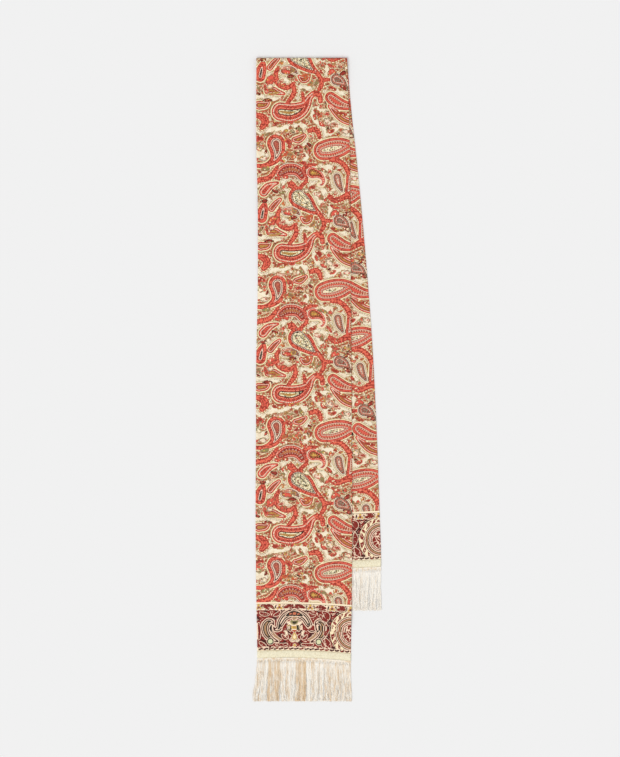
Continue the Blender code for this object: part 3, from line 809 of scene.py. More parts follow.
def fold_places(section, turn):
    """A ring of the fold, at this angle round it."""
    across, height = ring_across(FRONT_ROWS, section, 0.0)
    radius = FOLD_INSIDE + height * CLOTH_THICK
    axis = FOLD_INSIDE + CLOTH_THICK
    return in_frame(across, axis - radius * math.sin(turn), axis + radius * math.cos(turn))


def even_places(start, end, step):
    return np.linspace(start, end, max(1, round(abs(end - start) / step)) + 1)


def tube_faces(around, rings, inner_rings):
    """The quads of the outer skin, the inner skin and the two rims, as point numbers."""
    step = np.arange(around)
    after = (step + 1) % around
    base = rings * around
    joins = [(row * around, (row + 1) * around, False) for row in range(rings - 1)]
    joins += [(base + row * around, base + (row + 1) * around, True) for row in range(inner_rings - 1)]
    joins += [(0, base, True), (base - around, base + (inner_rings - 1) * around, False)]
    faces = []
    for here, there, turned in joins:
        quad = np.stack([here + step, here + after, there + after, there + step], 1)
        faces.append(quad[:, ::-1] if turned else quad)
    return np.concatenate(faces)


def linked(name, data):
    """A new object of the scene with this mesh, light or camera."""
    piece = bpy.data.objects.new(name, data)
    bpy.context.scene.collection.objects.link(piece)
    return piece


def tube_mesh(name, route, section, coarse):
    """The closed wall of a stretch of the tube, with the print in its points. The route
    lists (maker, place, distance from the front end) for each ring, and coarse says
    which rings the inner skin has."""
    inner_route = [route[index] for index in coarse]
    deeper = inner_section(section)
    outer = np.array([makes(section, place) for makes, place, _ in route])
    inner = np.array([makes(deeper, place) for makes, place, _ in inner_route])
    around = len(section)
    points = np.concatenate([outer.reshape(-1, 3), inner.reshape(-1, 3)])
    faces = tube_faces(around, len(route), len(inner_route))

    mesh = bpy.data.meshes.new(name)
    mesh.vertices.add(len(points))
    mesh.vertices.foreach_set("co", points.ravel())
    mesh.loops.add(faces.size)
    mesh.loops.foreach_set("vertex_index", faces.ravel())
    mesh.polygons.add(len(faces))
    mesh.polygons.foreach_set("loop_start", np.arange(0, faces.size, 4))
    mesh.update(calc_edges=True)
    mesh.shade_smooth()

    rings = len(route) + len(inner_route)
    x = np.tile(section[:, 3] * CLOTH_WIDE, rings)
    from_front = np.array([ring[2] for ring in route + inner_route]) / MM
    w = np.repeat(from_front, around)
    lower = np.tile(section[:, 2] < 0.5, rings)
    w = np.where(lower, CLOTH_LONG - w, w)
    fields, edge = print_fields(x, w)
    for key, values in fields.items():
        mesh.attributes.new(key, "FLOAT", "POINT").data.foreach_set("value", values)
    cloth = mesh.uv_layers.new(name="cloth")
    places = np.stack([x, edge], 1)[faces.ravel()] * MM
    cloth.data.foreach_set("uv", places.astype(np.float32).ravel())
    print(name, "quads", len(faces))
    return linked(name, mesh)


# %% Lay the front flap and the under flap
FINE = 1.19 * MM
ROWS = 1.18 * MM
FACE_WIDE = 0.122
FOLD_RINGS = 9
# Points across a hidden face, across the under flap's bottom, and across the part of
# the under flap's face that the front flap hides.
HIDDEN_POINTS = 15
BOTTOM_POINTS = 59
COVERED_POINTS = 9
SHOWN_FROM = 0.62
# The inner skin has every sixteenth ring, and all of the last ones, round the fold.
INNER_EVERY = 16
LAST_RINGS = 30
axis_down = FOLD_INSIDE + CLOTH_THICK
fold_long = math.pi * (FOLD_INSIDE + CLOTH_THICK)

front_route = [
    (front_places, down, FRONT_LENGTH - down) for down in even_places(FRONT_LENGTH, axis_down, ROWS)
]
at_fold = FRONT_LENGTH - axis_down
for turn in np.linspace(0, math.pi, FOLD_RINGS)[1:-1]:
    front_route.append((fold_places, turn, at_fold + fold_long * turn / math.pi))
past_fold = at_fold + fold_long - axis_down
# The front stretch ends this far down the under flap, out of sight.
SPLIT_DOWN = 20.0 * MM
for down in even_places(axis_down, SPLIT_DOWN, ROWS):
    front_route.append((back_places, down, past_fold + down))
under_route = [
    (back_places, down, past_fold + down) for down in even_places(SPLIT_DOWN, BACK_LENGTH, ROWS)
]

fine_shares = np.linspace(0, 1, round(FACE_WIDE / FINE) + 1)
coarse_shares = np.linspace(0, 1, HIDDEN_POINTS)
bottom_shares = np.linspace(0, 1, BOTTOM_POINTS)
covered = np.linspace(0, SHOWN_FROM, COVERED_POINTS)[:-1]
shown = np.linspace(SHOWN_FROM, 1, round(FACE_WIDE * (1 - SHOWN_FROM) / FINE) + 1)
shown_shares = np.concatenate([covered, shown])


def coarse_rows(count):
    """Which rings the inner skin has."""
    return sorted(set(range(0, count, INNER_EVERY)) | {count - 1})


fold_rows = len(front_route) - LAST_RINGS
front_coarse = [row for row in coarse_rows(len(front_route)) if row < fold_rows]
front_coarse += list(range(fold_rows, len(front_route)))
front_section = ring_section(fine_shares, coarse_shares)
under_section = ring_section(bottom_shares, shown_shares)
front_silk = tube_mesh("front_silk", front_route, front_section, front_coarse)
under_silk = tube_mesh("under_silk", under_route, under_section, coarse_rows(len(under_route)))
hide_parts("silk_tube")
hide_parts("silk_tube")
for piece in (front_silk, under_silk):
    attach(piece, "root")


# %% [markdown]
# ## Wiring helpers
#
# A printed cloth needs a long chain of small nodes. These helpers add a node and link
# its inputs in one call, so that the chain reads like a formula. Shader groups and
# Geometry Nodes trees are made by the same few lines.

# %% Wiring helpers
def colour(hex_code):
    """Linear red, green, blue and alpha of a screen colour."""
    parts = [int(hex_code[i : i + 2], 16) / 255 for i in (1, 3, 5)]
    linear = [p / 12.92 if p <= 0.04045 else ((p + 0.055) / 1.055) ** 2.4 for p in parts]
    return (*linear, 1.0)


# The depths in millimetres that a row of bands covers.
DEEPEST = 16.0
SHALLOWEST = -3.2


class Wiring:
    """Adds nodes to one tree, linking or setting their inputs."""

    def __init__(self, tree):
        self.tree = tree

    def node(self, kind, inputs=None, **settings):
        """A new node with these settings, and its inputs fed by name or number."""
        made = self.tree.nodes.new(kind)
        for name, value in settings.items():
            setattr(made, name, value)
        for socket, value in (inputs or {}).items():
            self.feed(made.inputs[socket], value)
        return made

    def feed(self, socket, value):
        if isinstance(value, bpy.types.NodeSocket):
            self.tree.links.new(value, socket)
        else:
            socket.default_value = value

    def math(self, operation, *values):
        return self.node("ShaderNodeMath", dict(enumerate(values)), operation=operation).outputs[0]

    plus = partialmethod(math, "ADD")
    minus = partialmethod(math, "SUBTRACT")
    over = partialmethod(math, "DIVIDE")
    # The first value times the second, and the third added.
    scaled = partialmethod(math, "MULTIPLY_ADD")
    lesser = partialmethod(math, "MINIMUM")
    greater = partialmethod(math, "MAXIMUM")
    above = partialmethod(math, "GREATER_THAN")
    below = partialmethod(math, "LESS_THAN")
    power = partialmethod(math, "POWER")
    fraction = partialmethod(math, "FRACT")
    sine = partialmethod(math, "SINE")

    def times(self, product, *factors):
        for factor in factors:
            product = self.math("MULTIPLY", product, factor)
        return product

    def same(self, value, key):
        """1 where the value is this whole number."""
        return self.math("COMPARE", value, float(key), 0.5)

    def between(self, value, low, high):
        """1 where the value lies between low and high."""
        return self.times(self.above(value, low), self.below(value, high))

    def mix(self, share, first, second):
        inputs = {0: share, 6: first, 7: second}
        return self.node("ShaderNodeMix", inputs, data_type="RGBA").outputs[2]

    def mix_value(self, share, first, second):
        inputs = {0: share, 2: first, 3: second}
        return self.node("ShaderNodeMix", inputs, data_type="FLOAT").outputs[0]

    def ramp(self, value, low, high):
        """A smooth step from 0 at low to 1 at high."""
        ends = {"Value": value, "From Min": low, "From Max": high}
        return self.node("ShaderNodeMapRange", ends, interpolation_type="SMOOTHSTEP").outputs[0]

    def attribute(self, name):
        return self.node("ShaderNodeAttribute", attribute_name=name).outputs["Fac"]

    def vector(self, x, y, z):
        return self.node("ShaderNodeCombineXYZ", {0: x, 1: y, 2: z}).outputs[0]

    def split(self, vector):
        return self.node("ShaderNodeSeparateXYZ", {0: vector}).outputs

    def in_mm(self, places):
        """Places in metres as places in millimetres."""
        inputs = {0: places, "Scale": 1 / MM}
        return self.node("ShaderNodeVectorMath", inputs, operation="SCALE").outputs[0]

    def noise(self, vector, scale, detail=2.0, rough=0.5):
        inputs = {"Vector": vector, "Scale": scale, "Detail": detail, "Roughness": rough}
        return self.node("ShaderNodeTexNoise", inputs).outputs["Fac"]

    def centred_noise(self, vector, scale, detail=2.0, rough=0.5):
        """Noise about zero."""
        return self.minus(self.noise(vector, scale, detail, rough), 0.5)

    def stripes(self, depth, stops, deepest=DEEPEST):
        """Flat bands of colour by depth in millimetres."""
        reach = deepest - SHALLOWEST
        share = self.over(self.minus(depth, SHALLOWEST), reach)
        made = self.node("ShaderNodeValToRGB", {0: share})
        ramp = made.color_ramp
        ramp.interpolation = "CONSTANT"
        while len(ramp.elements) > 1:
            ramp.elements.remove(ramp.elements[-1])
        for index, (start, hue) in enumerate(stops):
            place = (start - SHALLOWEST) / reach
            element = ramp.elements[0] if index == 0 else ramp.elements.new(place)
            element.position = place
            element.color = hue
        return made.outputs[0]

    def bead(self, run, depth, pitch, middle, radius):
        """1 on round beads at an even pitch along the outline."""
        cell = self.fraction(self.over(run, pitch))
        off = self.times(self.minus(cell, 0.5), pitch)
        deep = self.minus(depth, middle)
        square = self.plus(self.times(off, off), self.times(deep, deep))
        return self.below(square, radius * radius)


def new_tree(kind, name, inputs, outputs):
    """A new tree with named sockets, its wiring, and its ends."""
    tree = bpy.data.node_groups.new(name, kind)
    for socket, value_kind, value in inputs:
        made = tree.interface.new_socket(socket, in_out="INPUT", socket_type="NodeSocket" + value_kind)
        if value is not None:
            made.default_value = value
    for socket, value_kind in outputs:
        tree.interface.new_socket(socket, in_out="OUTPUT", socket_type="NodeSocket" + value_kind)
    wiring = Wiring(tree)
    entry = wiring.node("NodeGroupInput").outputs
    leave = wiring.node("NodeGroupOutput").inputs
    return tree, wiring, entry, leave


# %% [markdown]
# ## Printing
#
# The colours of the print are flat inks. Each scheme is a row of bands that follow the
# outline inwards, like the rings of a tree. Rows of beads, a patterned heart, fine dots
# and crimson shading are laid on the bands of the schemes that have them.

# %% Inks
CREAM_INK = colour("#FFEBC9")
CORAL_INK = colour("#E05B48")
CRIMSON_INK = colour("#9C3424")
MAROON_INK = colour("#481004")
PINK_INK = colour("#EFB79C")
ROSE_INK = colour("#C76A53")
PALE_INK = colour("#F5DAC0")
DARK_INK = colour("#2C2013")
GREY_INK = colour("#948670")
OLIVE_INK = colour("#8F8653")
OCHRE_INK = colour("#C4964A")
ORANGE_INK = colour("#D97034")
LEAD_INK = colour("#73604E")
YELLOW_INK = colour("#DDB455")
BROWN_INK = colour("#95694A")
RUST_INK = colour("#BD5436")
TAN_INK = colour("#B48A63")
LINE_INK = colour("#FAD8BC")
WINE_INK = colour("#862216")
HALO_INK = colour("#FDEAC0")
FLAME_INK = colour("#E96E54")
EDGE_INK = colour("#A3573A")
MOSS_INK = colour("#A8935A")
EYE_INK = colour("#DEDDB0")
# Pairs of grounds, the lighter first: between leaves, in a channel, and in a heart.
LEAFY_INKS = colour("#DFC297"), colour("#C59A78")
OPEN_INKS = colour("#F5E9CE"), colour("#F0DEC0")
HEART_INKS = colour("#F4E6BE"), colour("#CFC09A")
BANK_INK = colour("#B79A66")
RIM_INK = colour("#604A30")
DOT_INK = colour("#7C7044")
DIM_HALO_INK = colour("#D9BC8E")

# %% Bands and beads
# Each scheme's bands, as the depth in millimetres where a band begins, and its ink.
outside = [(-3.2, HALO_INK), (-1.75, MOSS_INK), (-1.15, HALO_INK), (-0.05, EDGE_INK)]
SCHEMES = {
    VINE: outside + [(0.5, CORAL_INK), (1.7, FLAME_INK), (3.6, CRIMSON_INK), (4.2, CORAL_INK)],
    RING: outside + [
        (0.5, CORAL_INK), (2.1, ROSE_INK), (3.2, FLAME_INK), (4.1, CRIMSON_INK), (4.7, CORAL_INK),
        (6.6, FLAME_INK), (8.2, CRIMSON_INK), (8.8, DARK_INK), (9.6, CREAM_INK), (11.2, OCHRE_INK),
    ],
    TEAR: outside + [
        (0.5, CORAL_INK), (2.2, FLAME_INK), (3.6, CRIMSON_INK), (4.3, CORAL_INK), (5.0, PALE_INK),
        (6.0, DARK_INK), (6.9, PALE_INK), (8.0, CRIMSON_INK), (9.8, ROSE_INK),
    ],
    PALE: outside + [
        (0.5, CORAL_INK), (1.9, FLAME_INK), (3.6, CRIMSON_INK), (4.5, PALE_INK), (5.5, DARK_INK),
        (6.1, CREAM_INK),
    ],
    BEADED: outside + [
        (0.5, CORAL_INK), (3.4, CRIMSON_INK), (3.9, PALE_INK), (4.6, CRIMSON_INK), (6.9, CORAL_INK),
        (8.0, ROSE_INK), (10.3, CRIMSON_INK), (11.0, CREAM_INK),
    ],
    ROSE: [
        (-3.2, HALO_INK), (-1.75, MOSS_INK), (-1.15, HALO_INK), (-0.3, LEAD_INK), (0.3, PALE_INK),
        (1.4, LEAD_INK), (2.0, GREY_INK), (3.9, ROSE_INK), (5.0, PALE_INK), (5.8, GREY_INK),
    ],
    SNAIL: outside + [
        (0.1, PALE_INK), (1.4, CRIMSON_INK), (2.0, CORAL_INK), (3.5, CRIMSON_INK), (4.9, OCHRE_INK),
        (6.0, RUST_INK), (6.6, YELLOW_INK),
    ],
    CRESCENT: [
        (-3.2, HALO_INK), (-1.75, MAROON_INK), (-1.25, PALE_INK), (-0.4, CRIMSON_INK), (0.6, CORAL_INK),
        (2.2, CRIMSON_INK), (3.2, CRIMSON_INK), (5.2, ROSE_INK),
    ],
    LEAF: outside + [
        (0.5, CORAL_INK), (1.8, PALE_INK), (2.4, CRIMSON_INK), (3.2, RUST_INK), (4.0, OCHRE_INK),
    ],
}
# Rows of beads: pitch, depth of the row, bead radius, and ink.
BEADS = {
    VINE: ((2.7, 1.5, 0.66, CRIMSON_INK), (3.3, -0.75, 0.72, RUST_INK)),
    RING: ((1.9, 2.65, 0.72, PALE_INK), (2.6, 6.0, 0.76, CRIMSON_INK), (2.6, 7.4, 0.42, PINK_INK)),
    TEAR: ((2.3, 5.5, 0.42, CRIMSON_INK), (2.4, 8.9, 0.60, GREY_INK)),
    PALE: ((2.2, 5.0, 0.52, DARK_INK), (2.9, 2.6, 0.66, CRIMSON_INK), (2.1, 10.2, 0.62, DARK_INK)),
    BEADED: (
        (2.4, 1.6, 0.60, ROSE_INK), (3.2, 5.7, 0.95, PINK_INK), (3.2, 5.7, 0.48, OCHRE_INK),
        (3.0, 9.15, 0.95, PALE_INK), (3.0, 9.15, 0.50, MAROON_INK),
    ),
    ROSE: ((2.7, 2.9, 0.85, CRIMSON_INK), (3.6, 6.9, 0.9, CRIMSON_INK)),
    SNAIL: ((2.6, 2.8, 0.60, PINK_INK), (2.6, 5.3, 0.66, DARK_INK)),
    CRESCENT: (
        (2.6, 1.4, 0.60, PINK_INK), (3.9, 4.5, 0.80, PALE_INK), (3.9, 4.5, 0.42, MAROON_INK),
        (3.0, 6.2, 0.66, OCHRE_INK),
    ),
}
# Where each scheme's patterned heart begins and ends, in millimetres deep.
CORES = {RING: (9.6, 11.2), PALE: (6.1, 16.0), BEADED: (11.6, 16.0)}
# How deep the part begins that has fine crimson and dark dots.
DOTTED_FROM = {
    RING: 11.2,
    TEAR: 9.8,
    SNAIL: 4.2,
    CRESCENT: 3.2,
    LEAF: 3.2,
    ROSE: 5.0,
}
# Where coral that has crimson shading begins, and how deep it goes.
CORAL_FROM = 0.35
CORAL_TO = {VINE: 9.0, RING: 8.2, TEAR: 5.0, PALE: 4.5, BEADED: 3.4, LEAF: 1.7}
BORDER_SCHEMES = {
    NEST: [
        (-3.2, MAROON_INK), (-0.8, LINE_INK), (0.1, MAROON_INK), (1.5, LINE_INK), (2.4, DARK_INK),
        (3.8, TAN_INK), (4.7, MAROON_INK),
    ],
    ARCH: [
        (-3.2, MAROON_INK), (-0.8, LINE_INK), (0.1, MAROON_INK), (1.6, LINE_INK), (2.5, DARK_INK),
        (4.0, LINE_INK), (4.8, MAROON_INK),
    ],
    MEDALLION: [
        (-3.2, MAROON_INK), (0.3, HALO_INK), (7.4, MAROON_INK), (8.3, LINE_INK), (9.3, WINE_INK),
        (10.3, TAN_INK), (12.0, DARK_INK), (12.9, LINE_INK), (14.0, WINE_INK), (15.2, LINE_INK),
        (16.2, MAROON_INK), (17.2, LINE_INK), (18.1, WINE_INK),
    ],
}
# Each sprig's own ink and the ink of its heart.
SPRIG_INKS = {
    CRIMSON: (CRIMSON_INK, CORAL_INK),
    OCHRE: (OCHRE_INK, BROWN_INK),
    ORANGE: (ORANGE_INK, RUST_INK),
    OLIVE: (OLIVE_INK, CREAM_INK),
    MAROON: (MAROON_INK, CRIMSON_INK),
    PINK: (PINK_INK, CRIMSON_INK),
    CORAL: (CORAL_INK, CRIMSON_INK),
    GREY: (GREY_INK, PALE_INK),
    BROWN: (BROWN_INK, OLIVE_INK),
    RUST: (RUST_INK, CRIMSON_INK),
    ROSY: (ROSE_INK, PALE_INK),
    NIGHT: (DARK_INK, DARK_INK),
    HEART: (RUST_INK, ORANGE_INK),
    LOBE: (YELLOW_INK, HALO_INK),
    DARK: (DARK_INK, DARK_INK),
    CROWN: (OLIVE_INK, DARK_INK),
    EYE: (DARK_INK, EYE_INK),
    WINE: (WINE_INK, WINE_INK),
    TAWNY: (TAN_INK, OCHRE_INK),
    PEARL: (CREAM_INK, CREAM_INK),
    BLOSSOM: (YELLOW_INK, OCHRE_INK),
    CREAMY: (PALE_INK, PALE_INK),
}
# Inks that a random value from 0 to 10 picks, for leaf clumps, specks and seeds.
CLUMP_STOPS = (
    (-3.2, CRIMSON_INK), (2.6, CORAL_INK), (4.8, RUST_INK), (6.0, OLIVE_INK), (6.8, OCHRE_INK),
    (7.4, MAROON_INK), (8.2, ROSE_INK), (9.2, HALO_INK),
)
SPECK_STOPS = (
    (-3.2, HALO_INK), (2.2, ROSE_INK), (3.8, OLIVE_INK), (5.2, CRIMSON_INK), (6.6, YELLOW_INK),
    (7.4, CORAL_INK), (8.6, BROWN_INK),
)
SEED_STOPS = (
    (-3.2, OLIVE_INK), (2.4, GREY_INK), (4.4, DARK_INK), (6.2, CREAM_INK), (7.8, OCHRE_INK),
    (9.0, CRIMSON_INK),
)


# %% [markdown]
# ## The print as a node group
#
# The group is given the fields that are kept in the cloth's points, and lays one ink
# over another as a printer does: the ground, the motifs, the border, the sprigs, and
# the lines that run across. The functions share the sockets in `at`.

# %% The print's irregular cells
# Patterns of cells: how many to a millimetre, how far they are bent, and the size of the
# smallest and the largest blob in its cell. A blob's dark rim is a little wider than it.
BLOBS = (0.25, 6.0, 0.34, 0.60)
SPECKS = (0.50, 3.0, 0.34, 0.56)
SEEDS = (0.50, 2.6, 0.24, 0.52)
RIM_WIDE = 0.09
WOBBLE_SCALE = 0.31


def cells(w, cloth, scale, bend, smallest, largest):
    """Irregular blobs: their mask, their dark rims and two random values."""
    wobble = w.node("ShaderNodeTexNoise", {"Vector": cloth, "Scale": WOBBLE_SCALE, "Detail": 1.0})
    pushed = {0: wobble.outputs["Color"], 1: (bend, bend, 0.0), 2: cloth}
    pushed = w.node("ShaderNodeVectorMath", pushed, operation="MULTIPLY_ADD").outputs[0]
    made = w.node("ShaderNodeTexVoronoi", {"Vector": pushed, "Scale": scale}, voronoi_dimensions="2D")
    drawn = w.node("ShaderNodeSeparateColor", {0: made.outputs["Color"]}).outputs
    size = w.scaled(drawn[0], largest - smallest, smallest)
    inside = w.below(made.outputs["Distance"], size)
    rim = w.below(made.outputs["Distance"], w.plus(size, RIM_WIDE))
    return inside, rim, drawn[1], drawn[2]


def pick_ink(w, value, stops):
    """The ink that a random value picks."""
    return w.stripes(w.times(value, 10.0), stops)


# %% The ground and the motifs
# Widths and depths in millimetres. The ground begins at FREE_FROM, outside a motif's
# outline. Leaves and dots hug the motif, and a channel's bank is a narrow shaded line.
FREE_FROM = -1.75
HUG_FROM = -4.2
LEAFY_ROW = (3.6, -3.1, 1.15)
LEAFY_HALO = (-4.9, -4.3)
BANK_WIDE = 0.7
BANK_WANDER = 5.0
BANK_RAGGED = 2.4
# Noise values past which a glade opens in the leaves, and the open ground is deeper.
GLADE_ABOVE = 0.635
GLADE_STEEP = 30.0
DEEPER_ABOVE = 0.03
# Noise values past which dots are printed: between leaves, in a channel, by a motif.
OLIVE_DOTS = (0.60, 0.77, 0.575)
RUST_DOTS = (0.61, 0.74, 0.58)
# Rust dots take the noise's low values: those below this sum less the value.
DOTS_SUM = 0.97
OLIVE_COVERS = 0.8
RUST_COVERS = 0.85
HEART_GREY_ABOVE = 0.56
CORAL_SHADE_ABOVE = 0.545
HEART_RED_ABOVE = 0.59
HEART_DARK_BELOW = 0.38


def leafy_ground(w, at):
    """Leaf clumps and specks, with clean cream channels winding through them, which
    `at.clear` marks."""
    blob, blob_rim, blob_pick, _ = cells(w, at.cloth, *BLOBS)
    clump = w.mix(at.chosen, pick_ink(w, blob_pick, CLUMP_STOPS), at.speck_ink)
    bank = w.scaled(at.broad, BANK_WANDER, w.scaled(at.ragged, BANK_RAGGED, at.channel))
    glade = w.minus(GLADE_ABOVE, w.noise(at.cloth, 0.105, 1.0))
    bank = w.lesser(w.minus(bank, BANK_WIDE), w.times(glade, GLADE_STEEP))
    at.clear = w.below(bank, 0.0)
    made = w.mix(at.shaded, *LEAFY_INKS)
    made = w.mix(at.speck, made, at.speck_ink)
    made = w.mix(blob_rim, made, RIM_INK)
    made = w.mix(blob, made, clump)
    made = w.mix(w.bead(at.run, at.depth, *LEAFY_ROW), made, w.mix(at.shaded, RUST_INK, CRIMSON_INK))
    made = w.mix(w.between(at.depth, *LEAFY_HALO), made, HALO_INK)
    made = w.mix(w.between(bank, 0.0, BANK_WIDE), made, BANK_INK)
    made = w.mix(at.clear, made, w.mix(w.above(at.broad, DEEPER_ABOVE), *OPEN_INKS))
    hugging = w.between(at.depth, HUG_FROM, FREE_FROM)

    def past(leafy, clear, hugged):
        return w.mix_value(hugging, w.mix_value(at.clear, leafy, clear), hugged)

    dots = w.times(w.above(at.stipple, past(*OLIVE_DOTS)), OLIVE_COVERS)
    made = w.mix(dots, made, DOT_INK)
    dots = w.below(at.stipple, w.minus(DOTS_SUM, past(*RUST_DOTS)))
    return w.mix(w.times(dots, RUST_COVERS), made, RUST_INK)


def motif_bands(w, at):
    """Every scheme's nested bands, with its shading, heart, beads and dots."""
    seed, _, seed_pick, _ = cells(w, at.cloth, *SEEDS)
    core = w.mix(w.above(w.noise(at.cloth, 0.16), HEART_GREY_ABOVE), *HEART_INKS)
    core = w.mix(seed, core, pick_ink(w, seed_pick, SEED_STOPS))
    shade = w.above(w.noise(at.cloth, 0.36, 1.0), CORAL_SHADE_ABOVE)
    made = None
    for key, stops in SCHEMES.items():
        bands = w.stripes(at.depth, stops)
        if key in CORAL_TO:
            coral = w.between(at.depth, CORAL_FROM, CORAL_TO[key])
            bands = w.mix(w.times(shade, coral), bands, CRIMSON_INK)
        if key in CORES:
            bands = w.mix(w.between(at.depth, *CORES[key]), bands, core)
        for pitch, middle, radius, ink in BEADS.get(key, ()):
            bands = w.mix(w.bead(at.run, at.depth, pitch, middle, radius), bands, ink)
        if key in DOTTED_FROM:
            heart = w.above(at.depth, DOTTED_FROM[key])
            bands = w.mix(w.times(heart, w.above(at.stipple, HEART_RED_ABOVE)), bands, CRIMSON_INK)
            bands = w.mix(w.times(heart, w.below(at.stipple, HEART_DARK_BELOW)), bands, DARK_INK)
        made = bands if made is None else w.mix(w.same(at.scheme, key), made, bands)
    return made


# %% The border's inks
# Contour lines: how many to a millimetre, how far they wander, where a line shows in
# its cycle, and how far it stays from a sprig.
ECHOES = 0.31
ECHO_WANDER = 1.3
CONTOUR_ABOVE = 0.80
CONTOUR_CLEAR = 1.3
# Noise values past which the border's ground turns wine, and has pale or dark flecks.
WINE_ABOVE = 0.45
PALE_FLECK_ABOVE = 0.70
DARK_TICK_ABOVE = 0.62
WINE_FLECK_BELOW = 0.37
# The row of ticks begins here, from the end, and its edge wavers.
TOP_ROW_FROM = 53.5
TOP_ROW_WAVER = 6.0
# How far the shapes' bands waver, and where they begin: the medallion's, the others'.
BANDS_WAVER = (4.0, 0.8)
BANDS_FROM = (-0.6, -0.9)
# The medallion's slanting petals and the scrolls of its heart.
PETAL_PITCH = 7.6
PETAL_SLANT = 0.8
PETAL_WANDER = 9.0
PETAL_SHARE = (0.16, 0.74)
PETAL_PALE_ABOVE = 0.6
PETAL_RING = (1.2, 6.5)
SCROLLS = (0.47, 0.55)
FLORAL_FROM = 18.1
MEDALLION_DEEPEST = 28.0


def medallion_bands(w, at, wavy, bands):
    """The medallion's bands, with slanting petals in its ring and scrolls in its heart."""
    slanted = w.scaled(at.broad, PETAL_WANDER, w.scaled(at.depth, PETAL_SLANT, at.run))
    petal = w.between(w.fraction(w.over(slanted, PETAL_PITCH)), *PETAL_SHARE)
    petal = w.times(petal, w.between(wavy, *PETAL_RING))
    petal_ink = w.mix(w.above(at.fleck, PETAL_PALE_ABOVE), WINE_INK, LINE_INK)
    bands = w.mix(petal, bands, petal_ink)
    scrolls = w.between(w.noise(at.cloth, 0.15, 1.0), *SCROLLS)
    return w.mix(w.above(at.depth, FLORAL_FROM), bands, w.mix(scrolls, WINE_INK, LINE_INK))


def border_print(w, at):
    """Cream contour lines that echo the shapes on maroon, then the shapes themselves."""
    near_shape = w.lesser(at.motif, w.plus(at.sprig, 0.6))
    echo = w.scaled(near_shape, ECHOES, w.times(w.noise(at.cloth, 0.13, 1.0), ECHO_WANDER))
    contour = w.above(w.fraction(echo), CONTOUR_ABOVE)
    contour = w.times(contour, w.above(at.plain_sprig, CONTOUR_CLEAR))
    made = w.mix(w.above(w.noise(at.cloth, 0.13), WINE_ABOVE), MAROON_INK, WINE_INK)
    made = w.mix(w.times(contour, at.breaks), made, LINE_INK)
    made = w.mix(w.above(at.fleck, PALE_FLECK_ABOVE), made, LINE_INK)
    ticks = w.mix(w.above(at.fleck, DARK_TICK_ABOVE), CREAM_INK, DARK_INK)
    ticks = w.mix(w.below(at.fleck, WINE_FLECK_BELOW), ticks, WINE_INK)
    row_edge = w.plus(at.edge, w.times(at.waver, TOP_ROW_WAVER))
    made = w.mix(w.above(row_edge, TOP_ROW_FROM), made, ticks)
    for key, stops in BORDER_SCHEMES.items():
        other = key != MEDALLION
        wavy = w.scaled(at.waver, BANDS_WAVER[other], at.depth)
        bands = w.stripes(wavy, stops, MEDALLION_DEEPEST)
        if not other:
            bands = medallion_bands(w, at, wavy, bands)
        inside = w.above(at.depth, BANDS_FROM[other])
        made = w.mix(w.times(w.same(at.scheme, key), inside), made, bands)
    return made


# %% Sprigs and lines over the print
# Each pair is for the body and for the border.
HALO_WIDE = (0.6, 0.85)
OUTLINE_WIDE = (0.32, 0.2)
HEART_FROM = -1.15
# Any deeper in a motif, a sprig's halo isn't printed.
HALO_TO = -0.3
# Noise values past which a sprig is mottled, and how much that covers.
MOTTLE_ABOVE = 0.545
MOTTLE_COVERS = 0.8
LEAF_FLECK_ABOVE = 0.66
# Lines across the cloth, as distances from its end in millimetres.
CREAM_LINE = (61.8, 64.0)
LEAD_LINE = (61.4, 61.9)
END_LINE = (3.6, 4.8)
DASHES = (1.0, 3.2)
# The last lines roll and are ragged. Dashes: how many to a millimetre, and their gap.
ROLLS, ROLL_HIGH = 0.9, 0.45
LOW_RAGGED = 1.6
DASHES_TO_MM, DASH_GAP = 0.145, 0.10


def sprigs_over(w, at, made):
    """Sprigs over all of it, each with a fine outline and a pale halo."""
    halo = w.below(at.sprig, w.mix_value(at.in_border, *HALO_WIDE))
    rim = w.below(at.sprig, w.mix_value(at.in_border, *OUTLINE_WIDE))
    filled = w.below(at.sprig, 0.0)
    ink = heart_ink = None
    for key, (first, second) in SPRIG_INKS.items():
        same = w.same(at.kind, key)
        ink = first if ink is None else w.mix(same, ink, first)
        heart_ink = second if heart_ink is None else w.mix(same, heart_ink, second)
    in_body = w.mix_value(at.in_border, 1.0, 0.0)
    mottle = w.times(w.above(at.stipple, MOTTLE_ABOVE), in_body)
    inner = w.below(at.sprig, HEART_FROM)
    ink = w.mix(w.greater(inner, w.times(mottle, MOTTLE_COVERS)), ink, heart_ink)
    ink = w.mix(w.times(at.chosen, in_body), ink, at.speck_ink)
    halo = w.times(halo, w.greater(at.in_border, w.below(at.depth, HALO_TO)))
    pale_edge = w.mix(at.clear, w.mix(at.shaded, CREAM_INK, DIM_HALO_INK), CREAM_INK)
    made = w.mix(halo, made, w.mix(at.in_border, pale_edge, LINE_INK))
    made = w.mix(rim, made, w.mix(at.in_border, BROWN_INK, DARK_INK))
    made = w.mix(filled, made, ink)
    leaves = w.times(filled, w.same(at.kind, WINE))
    made = w.mix(w.times(leaves, w.above(at.fleck, LEAF_FLECK_ABOVE)), made, LINE_INK)
    return w.mix(w.times(leaves, w.below(at.fleck, WINE_FLECK_BELOW)), made, MAROON_INK)


